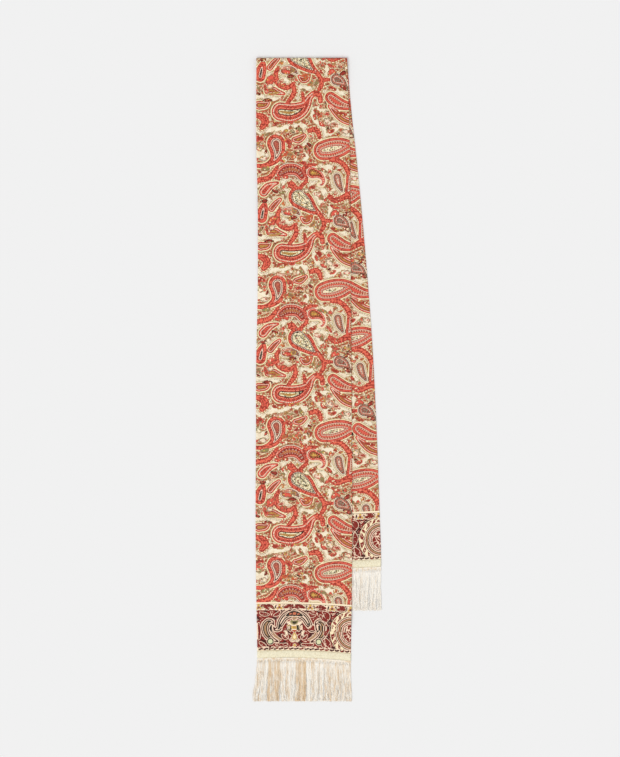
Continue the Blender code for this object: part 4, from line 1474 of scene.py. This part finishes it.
def lines_over(w, at, made):
    """Lines that run across the whole cloth: under the body, and the border's last edge."""
    made = w.mix(w.between(at.edge, *CREAM_LINE), made, CREAM_INK)
    made = w.mix(w.between(at.edge, *LEAD_LINE), made, LEAD_INK)
    rolling = w.times(w.sine(w.times(at.x, ROLLS)), ROLL_HIGH)
    low_edge = w.plus(w.plus(at.edge, rolling), w.times(at.ragged, LOW_RAGGED))
    dash = w.above(w.fraction(w.times(at.x, DASHES_TO_MM)), DASH_GAP)
    dash = w.times(dash, w.between(low_edge, *DASHES))
    made = w.mix(w.times(at.breaks, w.between(low_edge, *END_LINE)), made, LINE_INK)
    made = w.mix(w.below(low_edge, END_LINE[0]), made, CREAM_INK)
    return w.mix(dash, made, w.mix(at.breaks, WINE_INK, MAROON_INK))


# %% The whole print
# How far the printed edge wavers, how ragged sprigs are in the body and in the border,
# and how much bolder the body's motifs are printed than charted, in millimetres.
WAVER = 0.5
SPRIG_RAGGED = (1.5, 0.8)
BOLDER = (0.45, 0.0)
BREAKS_BELOW = 0.54
SHADED_ABOVE = 0.52


def print_group():
    """The print's colour, from the cloth's place in millimetres and its fields."""
    fields = ("Motif", "Run", "Scheme", "Sprig", "Sprig kind", "Channel")
    inputs = [("Cloth", "Vector", None)] + [(field, "Float", None) for field in fields]
    tree, w, entry, leave = new_tree("ShaderNodeTree", "silk print", inputs, [("Color", "Color")])
    at = SimpleNamespace(cloth=entry["Cloth"], run=entry["Run"], scheme=entry["Scheme"])
    at.kind, at.channel, at.plain_sprig = entry["Sprig kind"], entry["Channel"], entry["Sprig"]
    at.x, at.edge, _ = w.split(at.cloth)
    at.in_border = w.below(at.edge, BORDER)
    # The block's edge wavers a little, as a printed outline does.
    at.waver = w.times(w.centred_noise(at.cloth, 0.45), WAVER)
    at.ragged = w.centred_noise(at.cloth, 0.8, 0.0)
    at.motif = w.plus(entry["Motif"], at.waver)
    at.depth = w.minus(w.mix_value(at.in_border, *BOLDER), at.motif)
    at.sprig = w.scaled(at.ragged, w.mix_value(at.in_border, *SPRIG_RAGGED), at.plain_sprig)
    at.broad = w.centred_noise(at.cloth, 0.16, 1.0)
    at.stipple = w.noise(at.cloth, 0.82, 1.0)
    at.fleck = w.noise(at.cloth, 0.58, 1.0)
    at.breaks = w.below(w.noise(at.cloth, 0.2, 1.0), BREAKS_BELOW)
    at.shaded = w.above(w.noise(at.cloth, 0.22, 1.0), SHADED_ABOVE)
    at.speck, _, pick, turn = cells(w, at.cloth, *SPECKS)
    at.speck_ink = pick_ink(w, pick, SPECK_STOPS)
    at.chosen = w.times(at.speck, w.above(turn, 0.5))
    ground = leafy_ground(w, at)
    body = w.mix(w.below(at.depth, FREE_FROM), motif_bands(w, at), ground)
    made = w.mix(at.in_border, body, border_print(w, at))
    w.feed(leave["Color"], lines_over(w, at, sprigs_over(w, at, made)))
    return tree


# %% [markdown]
# ## Weave and handling
#
# Silk twill has fine slanting ribs. From a step away they only soften the gloss, and
# what shows is that no colour is quite even. Both effects are groups, because the silk
# and the hem bands use them with their own numbers.

# %% Weave group and tone group
def weave_group():
    """Slanting ribs as a height, from flat cloth coordinates in millimetres."""
    inputs = [("Cloth", "Vector", None), ("Rib", "Float", 0.6), ("Slant", "Float", 0.9)]
    tree, w, entry, leave = new_tree("ShaderNodeTree", "twill weave", inputs, [("Height", "Float")])
    across, along, _ = w.split(entry["Cloth"])
    turns = w.over(w.scaled(across, entry["Slant"], along), entry["Rib"])
    rib = w.sine(w.times(turns, 2 * math.pi))
    cross = w.over(across, w.times(entry["Rib"], 0.5))
    height = w.scaled(w.sine(w.times(cross, 2 * math.pi)), 0.3, rib)
    slub = w.noise(entry["Cloth"], 0.8, 3.0)
    w.feed(leave["Height"], w.scaled(slub, 0.8, height))
    return tree


def tone_group():
    """Makes a colour a little uneven, as dyed and handled cloth is."""
    inputs = [("Color", "Color", (0.8, 0.8, 0.8, 1.0)), ("Cloth", "Vector", None)]
    inputs += [("Fine", "Float", 0.08), ("Broad", "Float", 0.05), ("Broad scale", "Float", 0.02)]
    tree, w, entry, leave = new_tree("ShaderNodeTree", "uneven tone", inputs, [("Color", "Color")])
    fine = w.centred_noise(entry["Cloth"], 0.95, 2.0, 0.6)
    broad = w.centred_noise(entry["Cloth"], entry["Broad scale"])
    value = w.scaled(broad, entry["Broad"], w.scaled(fine, entry["Fine"], 1.0))
    toned = w.node("ShaderNodeHueSaturation", {"Value": value, "Color": entry["Color"]})
    w.feed(leave["Color"], toned.outputs[0])
    return tree


PRINT, WEAVE, TONE = print_group(), weave_group(), tone_group()


def placed_group(w, tree, **values):
    """The outputs of a group placed in a material, with these values."""
    values = {name.replace("_", " "): value for name, value in values.items()}
    return w.node("ShaderNodeGroup", values, node_tree=tree).outputs


def new_material(name, roughness, **finish):
    """A material with its wiring and its shader, and the shader's other finishes."""
    made = bpy.data.materials.new(name)
    made.use_nodes = True
    shader = made.node_tree.nodes["Principled BSDF"]
    for socket, value in {"Roughness": roughness, **finish}.items():
        shader.inputs[socket.replace("_", " ")].default_value = value
    return made, Wiring(made.node_tree), shader


RIB_HEIGHT = 0.08 * MM


def woven(w, shader, cloth, rib, relief, **tone):
    """Gives a material its uneven colour and the relief of its weave."""
    toned = placed_group(w, TONE, Cloth=cloth, **tone)
    w.feed(shader.inputs["Base Color"], toned["Color"])
    ribs = placed_group(w, WEAVE, Cloth=cloth, Rib=rib, Slant=0.9)
    bump = {"Strength": relief, "Distance": RIB_HEIGHT, "Height": ribs["Height"]}
    w.feed(shader.inputs["Normal"], w.node("ShaderNodeBump", bump).outputs[0])


# %% The printed silk's material
finish = {"Specular_IOR_Level": 0.22, "Sheen_Weight": 0.08, "Sheen_Roughness": 0.4}
silk, w, shader = new_material("printed_silk", 0.46, **finish)
cloth = w.in_mm(w.node("ShaderNodeUVMap", uv_map="cloth").outputs[0])
fields = ("motif", "run", "scheme", "sprig", "sprig_kind", "channel")
fields = {name.capitalize(): w.attribute(name) for name in fields}
printed = placed_group(w, PRINT, Cloth=cloth, **fields)
woven(w, shader, cloth, 0.62, 0.25, Color=printed["Color"], Fine=0.36, Broad=0.10)
front_silk.data.materials.append(silk)
under_silk.data.materials.append(silk)

# %% [markdown]
# ## Hem bands
#
# Each end is finished with a turned silk band. It is a flat strip with a soft puff
# between two sunk rows of stitches. The fringe's heading is a narrower, plainer strip.

# %% Hem bands and headings
# The strip's cut: shares of its depth, and shares of its height there. It goes over the
# top first, and returns along the flat underside.
TOP_DEPTHS = [0.0, 0.0, 0.03, 0.09, 0.13, 0.18, 0.34, 0.5, 0.66, 0.82, 0.87, 0.91, 0.97, 1.0, 1.0]
TOP_HEIGHTS = [0.1, 0.55, 0.86, 0.94, 0.84, 0.95, 1.0, 1.0, 1.0, 0.95, 0.84, 0.94, 0.86, 0.55, 0.1]
UNDER_DEPTHS = [0.94, 0.5, 0.06]
# Above this share of the height, a strip is as puffed as it is told to be.
PUFFED_FROM = 0.8
STATIONS = 96
SMOOTHED_OVER = 9
STRIP_SWAY = 0.12 * MM
STRIP_LIFT = 0.12
LINE_POINTS = 60


def edge_line(rows, length, down, up, inset):
    """Points along a line across a flap's end."""
    left, right = edges(rows, length)
    across = np.linspace(left + inset, right - inset, LINE_POINTS)
    return in_frame(across, lowered(rows, down, across), up)


def smooth_draw(random):
    """A random value for each station, close to its neighbours' values."""
    drawn = random.normal(0, 1, STATIONS + SMOOTHED_OVER - 1)
    return np.convolve(drawn, np.ones(SMOOTHED_OVER) / SMOOTHED_OVER, "valid")


def strip(name, rows, length, near, depth, low, thick, puff, seed):
    """A flat closed strip across a flap's end, rounded at its long edges."""
    random = np.random.default_rng(seed)
    u = np.array(TOP_DEPTHS + UNDER_DEPTHS)
    full = np.array(TOP_HEIGHTS + [0.0] * len(UNDER_DEPTHS))
    full = np.where(full > PUFFED_FROM, 1.0 - (1.0 - full) * puff, full)
    left, right = edges(rows, length)
    wave = smooth_draw(random)
    sway = smooth_draw(random)
    rings = []
    for place, lift, shift in zip(np.linspace(left, right, STATIONS), wave, sway):
        down = near + u * depth + shift * STRIP_SWAY
        up = low + thick * full * (1 + STRIP_LIFT * lift * (full > 0.5))
        rings.append(in_frame(place, lowered(rows, down, place), up))
    around = len(u)
    faces = []
    for here in range(0, (STATIONS - 1) * around, around):
        there = here + around
        for step in range(around):
            after = (step + 1) % around
            faces.append((here + step, there + step, there + after, here + after))
    faces.append(tuple(range(around)))
    faces.append(tuple(reversed(range((STATIONS - 1) * around, STATIONS * around))))
    mesh = bpy.data.meshes.new(name)
    mesh.from_pydata(np.concatenate(rings).tolist(), [], faces)
    mesh.shade_smooth()
    return linked(name, mesh)


# %% [markdown]
# ## Stitches, loops and yarn with Geometry Nodes
#
# What repeats is grown along a line: short stitches along a seam, loops along the
# heading, and hundreds of yarns along the fringe. One tree makes the stitches and
# loops. The other spins the yarns, gathers them into locks and lets them sway.

# %% Helpers for Geometry Nodes
def new_line(points):
    """An object of one open line of edges."""
    mesh = bpy.data.meshes.new("line")
    mesh.from_pydata(points.tolist(), [(i, i + 1) for i in range(len(points) - 1)], [])
    return linked("line", mesh)


def grown(name, points, tree, **values):
    """The mesh that a tree grows on a line through these points, as an object."""
    line = new_line(points)
    grower = line.modifiers.new("grow", "NODES")
    grower.node_group = tree
    for socket in tree.interface.items_tree:
        value = socket.name.replace(" ", "_")
        if socket.in_out == "INPUT" and value in values:
            grower[socket.identifier] = values[value]
    bpy.context.view_layer.update()
    ready = line.evaluated_get(bpy.context.evaluated_depsgraph_get())
    mesh = bpy.data.meshes.new_from_object(ready)
    mesh.name = name
    bpy.data.objects.remove(line)
    print(name, "faces", len(mesh.polygons))
    return linked(name, mesh)


def geometry_tree(name, inputs):
    """A tree with these inputs beside its geometry, and its wiring."""
    geometry = ("Geometry", "Geometry")
    made = new_tree("GeometryNodeTree", name, [(*geometry, None), *inputs], [geometry])
    made[0].is_modifier = True
    return made


def points_on(w, line, mode, **spacing):
    """The outputs of evenly spaced points along the edges of a line."""
    curve = w.node("GeometryNodeMeshToCurve", {"Mesh": line}).outputs[0]
    return w.node("GeometryNodeCurveToPoints", {"Curve": curve, **spacing}, mode=mode).outputs


def draw(w, seed, low=0.0, high=1.0):
    """A random value for each point."""
    inputs = {2: low, 3: high, "Seed": seed}
    return w.node("FunctionNodeRandomValue", inputs, data_type="FLOAT").outputs[1]


def store(w, geometry, name, value, kind="FLOAT"):
    """The geometry, with this value kept in its points."""
    inputs = {"Geometry": geometry, "Name": name, "Value": value}
    kinds = {"data_type": kind, "domain": "POINT"}
    return w.node("GeometryNodeStoreNamedAttribute", inputs, **kinds).outputs[0]


def read(w, name, kind="FLOAT"):
    """The value that is kept in the points."""
    return w.node("GeometryNodeInputNamedAttribute", {"Name": name}, data_type=kind).outputs[0]


def smoothed(w, mesh):
    return w.node("GeometryNodeSetShadeSmooth", {0: mesh}).outputs[0]


def realized(w, instances):
    return w.node("GeometryNodeRealizeInstances", {0: instances}).outputs[0]


def dressed(w, instances, material):
    """The real mesh of all the instances, in its material."""
    inputs = {0: realized(w, instances), "Material": material}
    return w.node("GeometryNodeSetMaterial", inputs).outputs[0]


# %% A tree of stitches
def stitch_tree():
    """Small rounded stitches set along a line."""
    inputs = [
        ("Pitch", "Float", 2.0 * MM),
        ("Size", "Vector", (1.0 * MM, 0.3 * MM, 0.2 * MM)),
        ("Turn", "Float", 0.0),
        ("Unevenness", "Float", 0.1),
        ("Seed", "Int", 1),
        ("Material", "Material", None),
    ]
    tree, w, entry, leave = geometry_tree("stitch row", inputs)
    points = points_on(w, entry["Geometry"], "LENGTH", Length=entry["Pitch"])
    pick = draw(w, entry["Seed"])
    ball = w.node("GeometryNodeMeshUVSphere", {"Segments": 8, "Rings": 6, "Radius": 1.0})
    along = {"Vector": points["Tangent"]}
    along = w.node("FunctionNodeAlignRotationToVector", along, axis="X").outputs[0]
    swing = draw(w, w.plus(entry["Seed"], 5.0), -0.5, 0.5)
    angle = w.scaled(swing, entry["Unevenness"], entry["Turn"])
    turned = {0: along, 1: w.vector(0.0, 0.0, angle)}
    turned = w.node("FunctionNodeRotateRotation", turned, rotation_space="LOCAL").outputs[0]
    size = {0: entry["Size"], "Scale": w.scaled(pick, entry["Unevenness"], 0.95)}
    copies = {
        "Points": store(w, points["Points"], "strand_tint", pick),
        "Instance": smoothed(w, ball.outputs[0]),
        "Rotation": turned,
        "Scale": w.node("ShaderNodeVectorMath", size, operation="SCALE").outputs[0],
    }
    copies = w.node("GeometryNodeInstanceOnPoints", copies).outputs[0]
    w.feed(leave[0], dressed(w, copies, entry["Material"]))
    return tree


# %% A tree of yarns
# The pitches at which yarns gather: in bundles at the root, and in small and big locks.
BUNDLE = 1.35 * MM
SMALL_LOCK = 3.4 * MM
BIG_LOCK = 11.5 * MM
YARN_POINTS = 10
YARN_RADIUS = 0.19 * MM
# How much thicker a yarn is at its root, and how much thinner its tip is than that.
ROOT_THICK, TIP_THINNER = 1.1, -0.3
# How much longer than the shortest yarn one may be, and the shortest yarn's share.
UNEVEN_TIPS, SHORTEST = 0.020, 0.985
# Steps that keep the two fringes and the random draws of a yarn apart.
SEED_STEP = 17.3
LENGTH_STEP = 37.0
LEVEL_STEP = 53.0
# How far a yarn's tip strays with its neighbours, and by itself.
SWAY = 8.8 * MM
OWN_SWAY = 5.8 * MM
# How finely that changes, across the fringe and along a yarn.
SWAY_FINE = (260.0, 4.2)
OWN_FINE = (91.0, 2.2)
# How much of the way yarns draw together in small locks, big locks and bundles.
SMALL_PULL, BIG_PULL, BUNDLE_PULL = 0.12, 0.02, 0.78
# Heights: the lowest yarn, locks over each other, yarns over each other, and the root.
YARN_LOW = 0.28 * MM
LOCK_LIFT = 0.3 * MM
YARN_LIFT = 0.6 * MM
ROOT_LIFT = 0.35 * MM


def lock(w, x, seed, pitch):
    """Two random values and the distance to the middle of this yarn's lock."""
    where = w.scaled(x, 1.0 / pitch, seed)
    inputs = {"Scale": 1.0, "W": where}
    found = w.node("ShaderNodeTexVoronoi", inputs, voronoi_dimensions="1D").outputs
    lean, tint, _ = w.split(found["Color"])
    return lean, tint, w.times(w.minus(found["W"], where), pitch)


def yarn_tree():
    """Yarns that hang from a line: bundles at the root, locks below, all a little apart."""
    inputs = [
        ("Count", "Int", 700),
        ("Left", "Float", 0.0),
        ("Tips", "Float", 0.0),
        ("Flare", "Float", 0.0),
        ("Lean", "Float", 2.2 * MM),
        ("Tan share", "Float", 1.0),
        ("Seed", "Int", 1),
        ("Material", "Material", None),
    ]
    tree, w, entry, leave = geometry_tree("yarn fringe", inputs)
    points = points_on(w, entry["Geometry"], "COUNT", Count=entry["Count"])
    place = w.node("GeometryNodeInputPosition").outputs[0]
    rooted = store(w, points["Points"], "root", place, "FLOAT_VECTOR")
    rooted = store(w, rooted, "strand_tint", draw(w, entry["Seed"]))
    straight = w.node("GeometryNodeCurvePrimitiveLine", {"End": (0.0, -1.0, 0.0)}).outputs[0]
    fine = {"Curve": straight, "Count": YARN_POINTS}
    fine = w.node("GeometryNodeResampleCurve", fine).outputs[0]
    copies = {"Points": rooted, "Instance": fine}
    copies = w.node("GeometryNodeInstanceOnPoints", copies).outputs[0]

    share = w.node("GeometryNodeSplineParameter").outputs["Factor"]
    x, y, _ = w.split(read(w, "root", "FLOAT_VECTOR"))
    tint = read(w, "strand_tint")
    seed = w.times(entry["Seed"], SEED_STEP)
    big_lean, big_tint, to_big = lock(w, x, seed, BIG_LOCK)
    small_lean, small_tint, to_small = lock(w, x, seed, SMALL_LOCK)
    to_bundle = w.minus(w.times(w.math("ROUND", w.over(x, BUNDLE)), BUNDLE), x)
    late = w.power(share, 1.3)
    held = w.minus(1.0, w.ramp(share, 0.03, 0.15))
    near_left = w.minus(1.0, w.ramp(w.minus(x, entry["Left"]), 0.0, FLARE_REACH))
    here = w.vector(w.times(x, SWAY_FINE[0]), w.times(share, SWAY_FINE[1]), w.scaled(tint, 0.5, seed))
    alone = w.vector(w.times(tint, OWN_FINE[0]), w.times(share, OWN_FINE[1]), seed)
    new_x = x
    for part in (
        w.times(w.minus(big_lean, 0.5), entry["Lean"], 1.5, late),
        w.times(w.minus(small_lean, 0.5), entry["Lean"], 0.7, late),
        w.times(to_small, w.ramp(share, 0.05, 0.7), SMALL_PULL),
        w.times(to_big, late, BIG_PULL),
        w.times(to_bundle, held, BUNDLE_PULL),
        w.times(near_left, entry["Flare"], w.power(share, 1.2), -1.0),
        w.times(w.centred_noise(here, 1.0), SWAY, share),
        w.times(w.centred_noise(alone, 1.0, 1.0), OWN_SWAY, share),
    ):
        new_x = w.plus(new_x, part)
    longer = w.scaled(w.fraction(w.times(tint, LENGTH_STEP)), UNEVEN_TIPS, SHORTEST)
    new_y = w.plus(y, w.times(w.minus(entry["Tips"], y), share, longer))
    level = w.fraction(w.times(tint, LEVEL_STEP))
    lifted = w.scaled(small_tint, LOCK_LIFT, w.times(level, YARN_LIFT))
    new_z = w.plus(w.times(lifted, w.ramp(share, 0.0, 0.2)), YARN_LOW)
    new_z = w.scaled(w.minus(1.0, w.ramp(share, 0.0, 0.16)), ROOT_LIFT, new_z)
    spot = {"Geometry": realized(w, copies), "Position": w.vector(new_x, new_y, new_z)}
    placed = w.node("GeometryNodeSetPosition", spot).outputs[0]

    lock_tint = w.scaled(small_tint, 0.4, w.times(big_tint, 0.6))
    paler = w.scaled(entry["Tan share"], 0.5, -0.5)
    lock_tint = w.scaled(lock_tint, entry["Tan share"], paler)
    circle = {"Resolution": 4, "Radius": YARN_RADIUS}
    body = {
        "Curve": store(w, placed, "lock_tint", lock_tint),
        "Profile Curve": w.node("GeometryNodeCurvePrimitiveCircle", circle).outputs[0],
        "Scale": w.scaled(share, TIP_THINNER, ROOT_THICK),
        "Fill Caps": True,
    }
    body = w.node("GeometryNodeCurveToMesh", body).outputs[0]
    w.feed(leave[0], dressed(w, smoothed(w, body), entry["Material"]))
    return tree


STITCHES, YARNS = stitch_tree(), yarn_tree()

# %% [markdown]
# ## Yarn and band materials
#
# Most yarns are ivory, and some locks turn to tan. The bands are of the same weave as
# the silk, unprinted, and the threads are plain.

# %% Yarn, loops and bands
IVORY, WARM, TAN = colour("#FFFDF8"), colour("#FEF5E6"), colour("#EACFA9")
# Streaks change this finely across and along the yarns. A yarn is tan where its own tint,
# its lock's tint and the streaks add up past this range.
STREAKS = (330.0, 55.0, 0.0)
TAN_RANGE = (0.38, 0.84)
yarn, w, shader = new_material("glossy_yarn", 0.42, Sheen_Weight=0.2, Specular_IOR_Level=0.4)
here = {0: w.node("ShaderNodeTexCoord").outputs["Object"], 1: STREAKS}
here = w.node("ShaderNodeVectorMath", here, operation="MULTIPLY").outputs[0]
tan = w.scaled(w.attribute("strand_tint"), 0.35, w.times(w.attribute("lock_tint"), 0.62))
tan = w.scaled(w.centred_noise(here, 1.0), 0.9, w.plus(tan, 0.08))
pale = w.mix(w.attribute("strand_tint"), IVORY, WARM)
w.feed(shader.inputs["Base Color"], w.mix(w.ramp(tan, *TAN_RANGE), pale, TAN))

looped, w, shader = new_material("heading_loops", 0.45, Sheen_Weight=0.2)
flat = w.in_mm(w.node("ShaderNodeTexCoord").outputs["Object"])
patch = w.scaled(w.noise(flat, 0.22, 1.0), 3.2, -1.5)
tan = w.scaled(w.attribute("strand_tint"), 0.5, patch)
tan = w.lesser(w.greater(tan, 0.0), 1.0)
w.feed(shader.inputs["Base Color"], w.mix(tan, WARM, TAN))

tape, w, shader = new_material("cream_band", 0.5, Sheen_Weight=0.1)
flat = w.in_mm(w.node("ShaderNodeTexCoord").outputs["Object"])
specks = w.times(w.above(w.noise(flat, 0.6, 1.0), 0.62), 0.42)
cream = w.mix(specks, colour("#EFE6C8"), colour("#CDB684"))
woven(w, shader, flat, 0.55, 0.3, Color=cream, Fine=0.42, Broad=0.30, Broad_scale=0.4)

thread, _, _ = new_material("sewing_thread", 0.5, Base_Color=colour("#E9DEBB"))
red_thread, _, _ = new_material("seam_thread", 0.5, Base_Color=colour("#C9806A"))

# %% Sew the ends and hang the fringes
# Half the length, width and height of a stitch and of a loop.
STITCH = (0.78 * MM, 0.17 * MM, 0.14 * MM)
LOOP = (2.4 * MM, 0.5 * MM, 0.3 * MM)
STITCH_PITCH = 2.3 * MM
LOOP_PITCH = 1.95 * MM
# The rows of stitches, in shares of the band's depth, and how high they lie on it.
STITCH_ROWS = (0.13, 0.87)
STITCH_UP = 0.88 * BAND_THICK
STITCH_INSET = 0.8 * MM
HEADING_LOW = 0.15 * MM
HEADING_THICK = 0.5 * MM
# How far the loops lie below the heading's top edge, and the yarns above its low edge.
LOOPS_BELOW = 2.5 * MM
YARNS_ABOVE = 0.6 * MM
YARN_COUNT = 1300
# Each end: how its pieces and its solids are named, its flap, how far below the fold
# its fringe is cut level, how far the fringe's left side flares, its share of tan, and
# its seed.
ENDS = (
    ("front", "front", FRONT_ROWS, FRONT_LENGTH, 848.8 * MM, 7.2 * MM, 1.0, 4),
    ("under", "back", BACK_ROWS, BACK_LENGTH, 729.0 * MM, 1.2 * MM, 0.58, 9),
)
sewn = {}
for side, node, rows, length, tips_down, flare, tan_share, seed in ENDS:
    band_at = length + SEAM_GAP
    heading_at = band_at + BAND_DEPTH + SEAM_GAP
    band = strip(side + "_hem_band", rows, length, band_at, BAND_DEPTH, 0.0, BAND_THICK, 1.0, seed)
    sizes = (heading_at, HEADING_DEPTH, HEADING_LOW, HEADING_THICK, 0.2)
    heading = strip(side + "_heading", rows, length, *sizes, seed + 1)
    band.data.materials.append(tape)
    heading.data.materials.append(looped)
    stitches = []
    for number, share in enumerate(STITCH_ROWS):
        row = edge_line(rows, length, band_at + share * BAND_DEPTH, STITCH_UP, STITCH_INSET)
        sewing = {"Size": STITCH, "Unevenness": 0.16, "Seed": seed + number, "Material": thread}
        name = f"{side}_stitches_{number}"
        stitches.append(grown(name, row, STITCHES, Pitch=STITCH_PITCH, **sewing))
    row = edge_line(rows, length, heading_at + LOOPS_BELOW, 0.8 * MM, 0.6 * MM)
    looping = {"Size": LOOP, "Unevenness": 0.30, "Seed": seed, "Material": looped}
    bars = grown(side + "_loops", row, STITCHES, Pitch=LOOP_PITCH, Turn=math.pi / 2, **looping)
    roots = edge_line(rows, length, heading_at + HEADING_DEPTH - YARNS_ABOVE, 0.5 * MM, 0.3 * MM)
    left, _ = edges(rows, length)
    yarns = grown(
        side + "_yarns",
        roots,
        YARNS,
        Count=YARN_COUNT,
        Tips=ORIGIN_DOWN - tips_down,
        Left=left - ORIGIN_ACROSS,
        Flare=flare,
        Tan_share=tan_share,
        Seed=seed,
        Material=yarn,
    )
    for piece in (band, *stitches):
        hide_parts(node + "_band")
    for piece in (heading, bars, yarns):
        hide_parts(node + "_fringe")
    sewn[side] = [band, heading, *stitches, bars, yarns]
    for piece in sewn[side]:
        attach(piece, "root")

# %% Close the tube's side seam
SEAM_STITCH = (0.9 * MM, 0.17 * MM, 0.17 * MM)
SEAM_PITCH = 5.0 * MM
SEAM_REACH = (30.0 * MM, 770.0 * MM)
SEAM_STEPS = 150
seam_down = np.linspace(*SEAM_REACH, SEAM_STEPS)
seam_left, _ = edges(FRONT_ROWS, seam_down)
seam_across = seam_left + SEAM_GROOVE * 0.55
seam_up = support(seam_down, seam_across) + CLOTH_THICK * 0.5
seam_line = in_frame(seam_across, lowered(FRONT_ROWS, seam_down, seam_across), seam_up)
sewing = {"Size": SEAM_STITCH, "Unevenness": 0.2, "Seed": 21, "Material": red_thread}
seam = grown("seam_stitches", seam_line, STITCHES, Pitch=SEAM_PITCH, **sewing)
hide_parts("silk_tube")
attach(seam, "root")
sewn["front"].append(seam)

# %% [markdown]
# ## Table, light and camera
#
# The scarf lies on a wide pale table under a soft light, and the camera looks straight
# down on it.

# %% Floor and light
FLOOR_REACH = 30.0
corners = [(-1, -1), (1, -1), (1, 1), (-1, 1)]
floor_mesh = bpy.data.meshes.new("floor")
floor_mesh.from_pydata([(x * FLOOR_REACH, y * FLOOR_REACH, 0) for x, y in corners], [], [(0, 1, 2, 3)])
floor = linked("floor", floor_mesh)
floor.location.z = -0.05 * MM
finish = {"Base_Color": (0.86, 0.86, 0.86, 1.0), "Specular_IOR_Level": 0.0}
paper, _, _ = new_material("pale_paper", 0.9, **finish)
floor_mesh.materials.append(paper)

scene = bpy.context.scene
scene.view_settings.view_transform = "Standard"
world = bpy.data.worlds.new("studio")
world.use_nodes = True
backdrop = world.node_tree.nodes["Background"]
backdrop.inputs["Color"].default_value = (1.0, 1.0, 1.0, 1.0)
backdrop.inputs["Strength"].default_value = 0.67
scene.world = world
sun = bpy.data.lights.new("soft_key", "SUN")
sun.energy = 1.48
sun.angle = math.radians(38)
sun_holder = linked("soft_key", sun)
sun_holder.rotation_euler = (math.radians(32), math.radians(-28), 0)

# %% Camera
PHOTO_SCALE = 1.32 * MM
PHOTO_HIGH = 757
VIEW_MIDDLE = (71.3 * MM, 422.9 * MM)
camera_data = bpy.data.cameras.new("camera")
camera_data.sensor_width = 36.0
camera_data.lens = 100.0
camera_data.clip_end = 100.0
seen_high = PHOTO_HIGH * PHOTO_SCALE
away = seen_high / 2 / (camera_data.sensor_width / 2 / camera_data.lens)
camera = linked("camera", camera_data)
camera.location = Vector(in_frame(*VIEW_MIDDLE, away))
scene.camera = camera
print("camera height", round(away, 3))
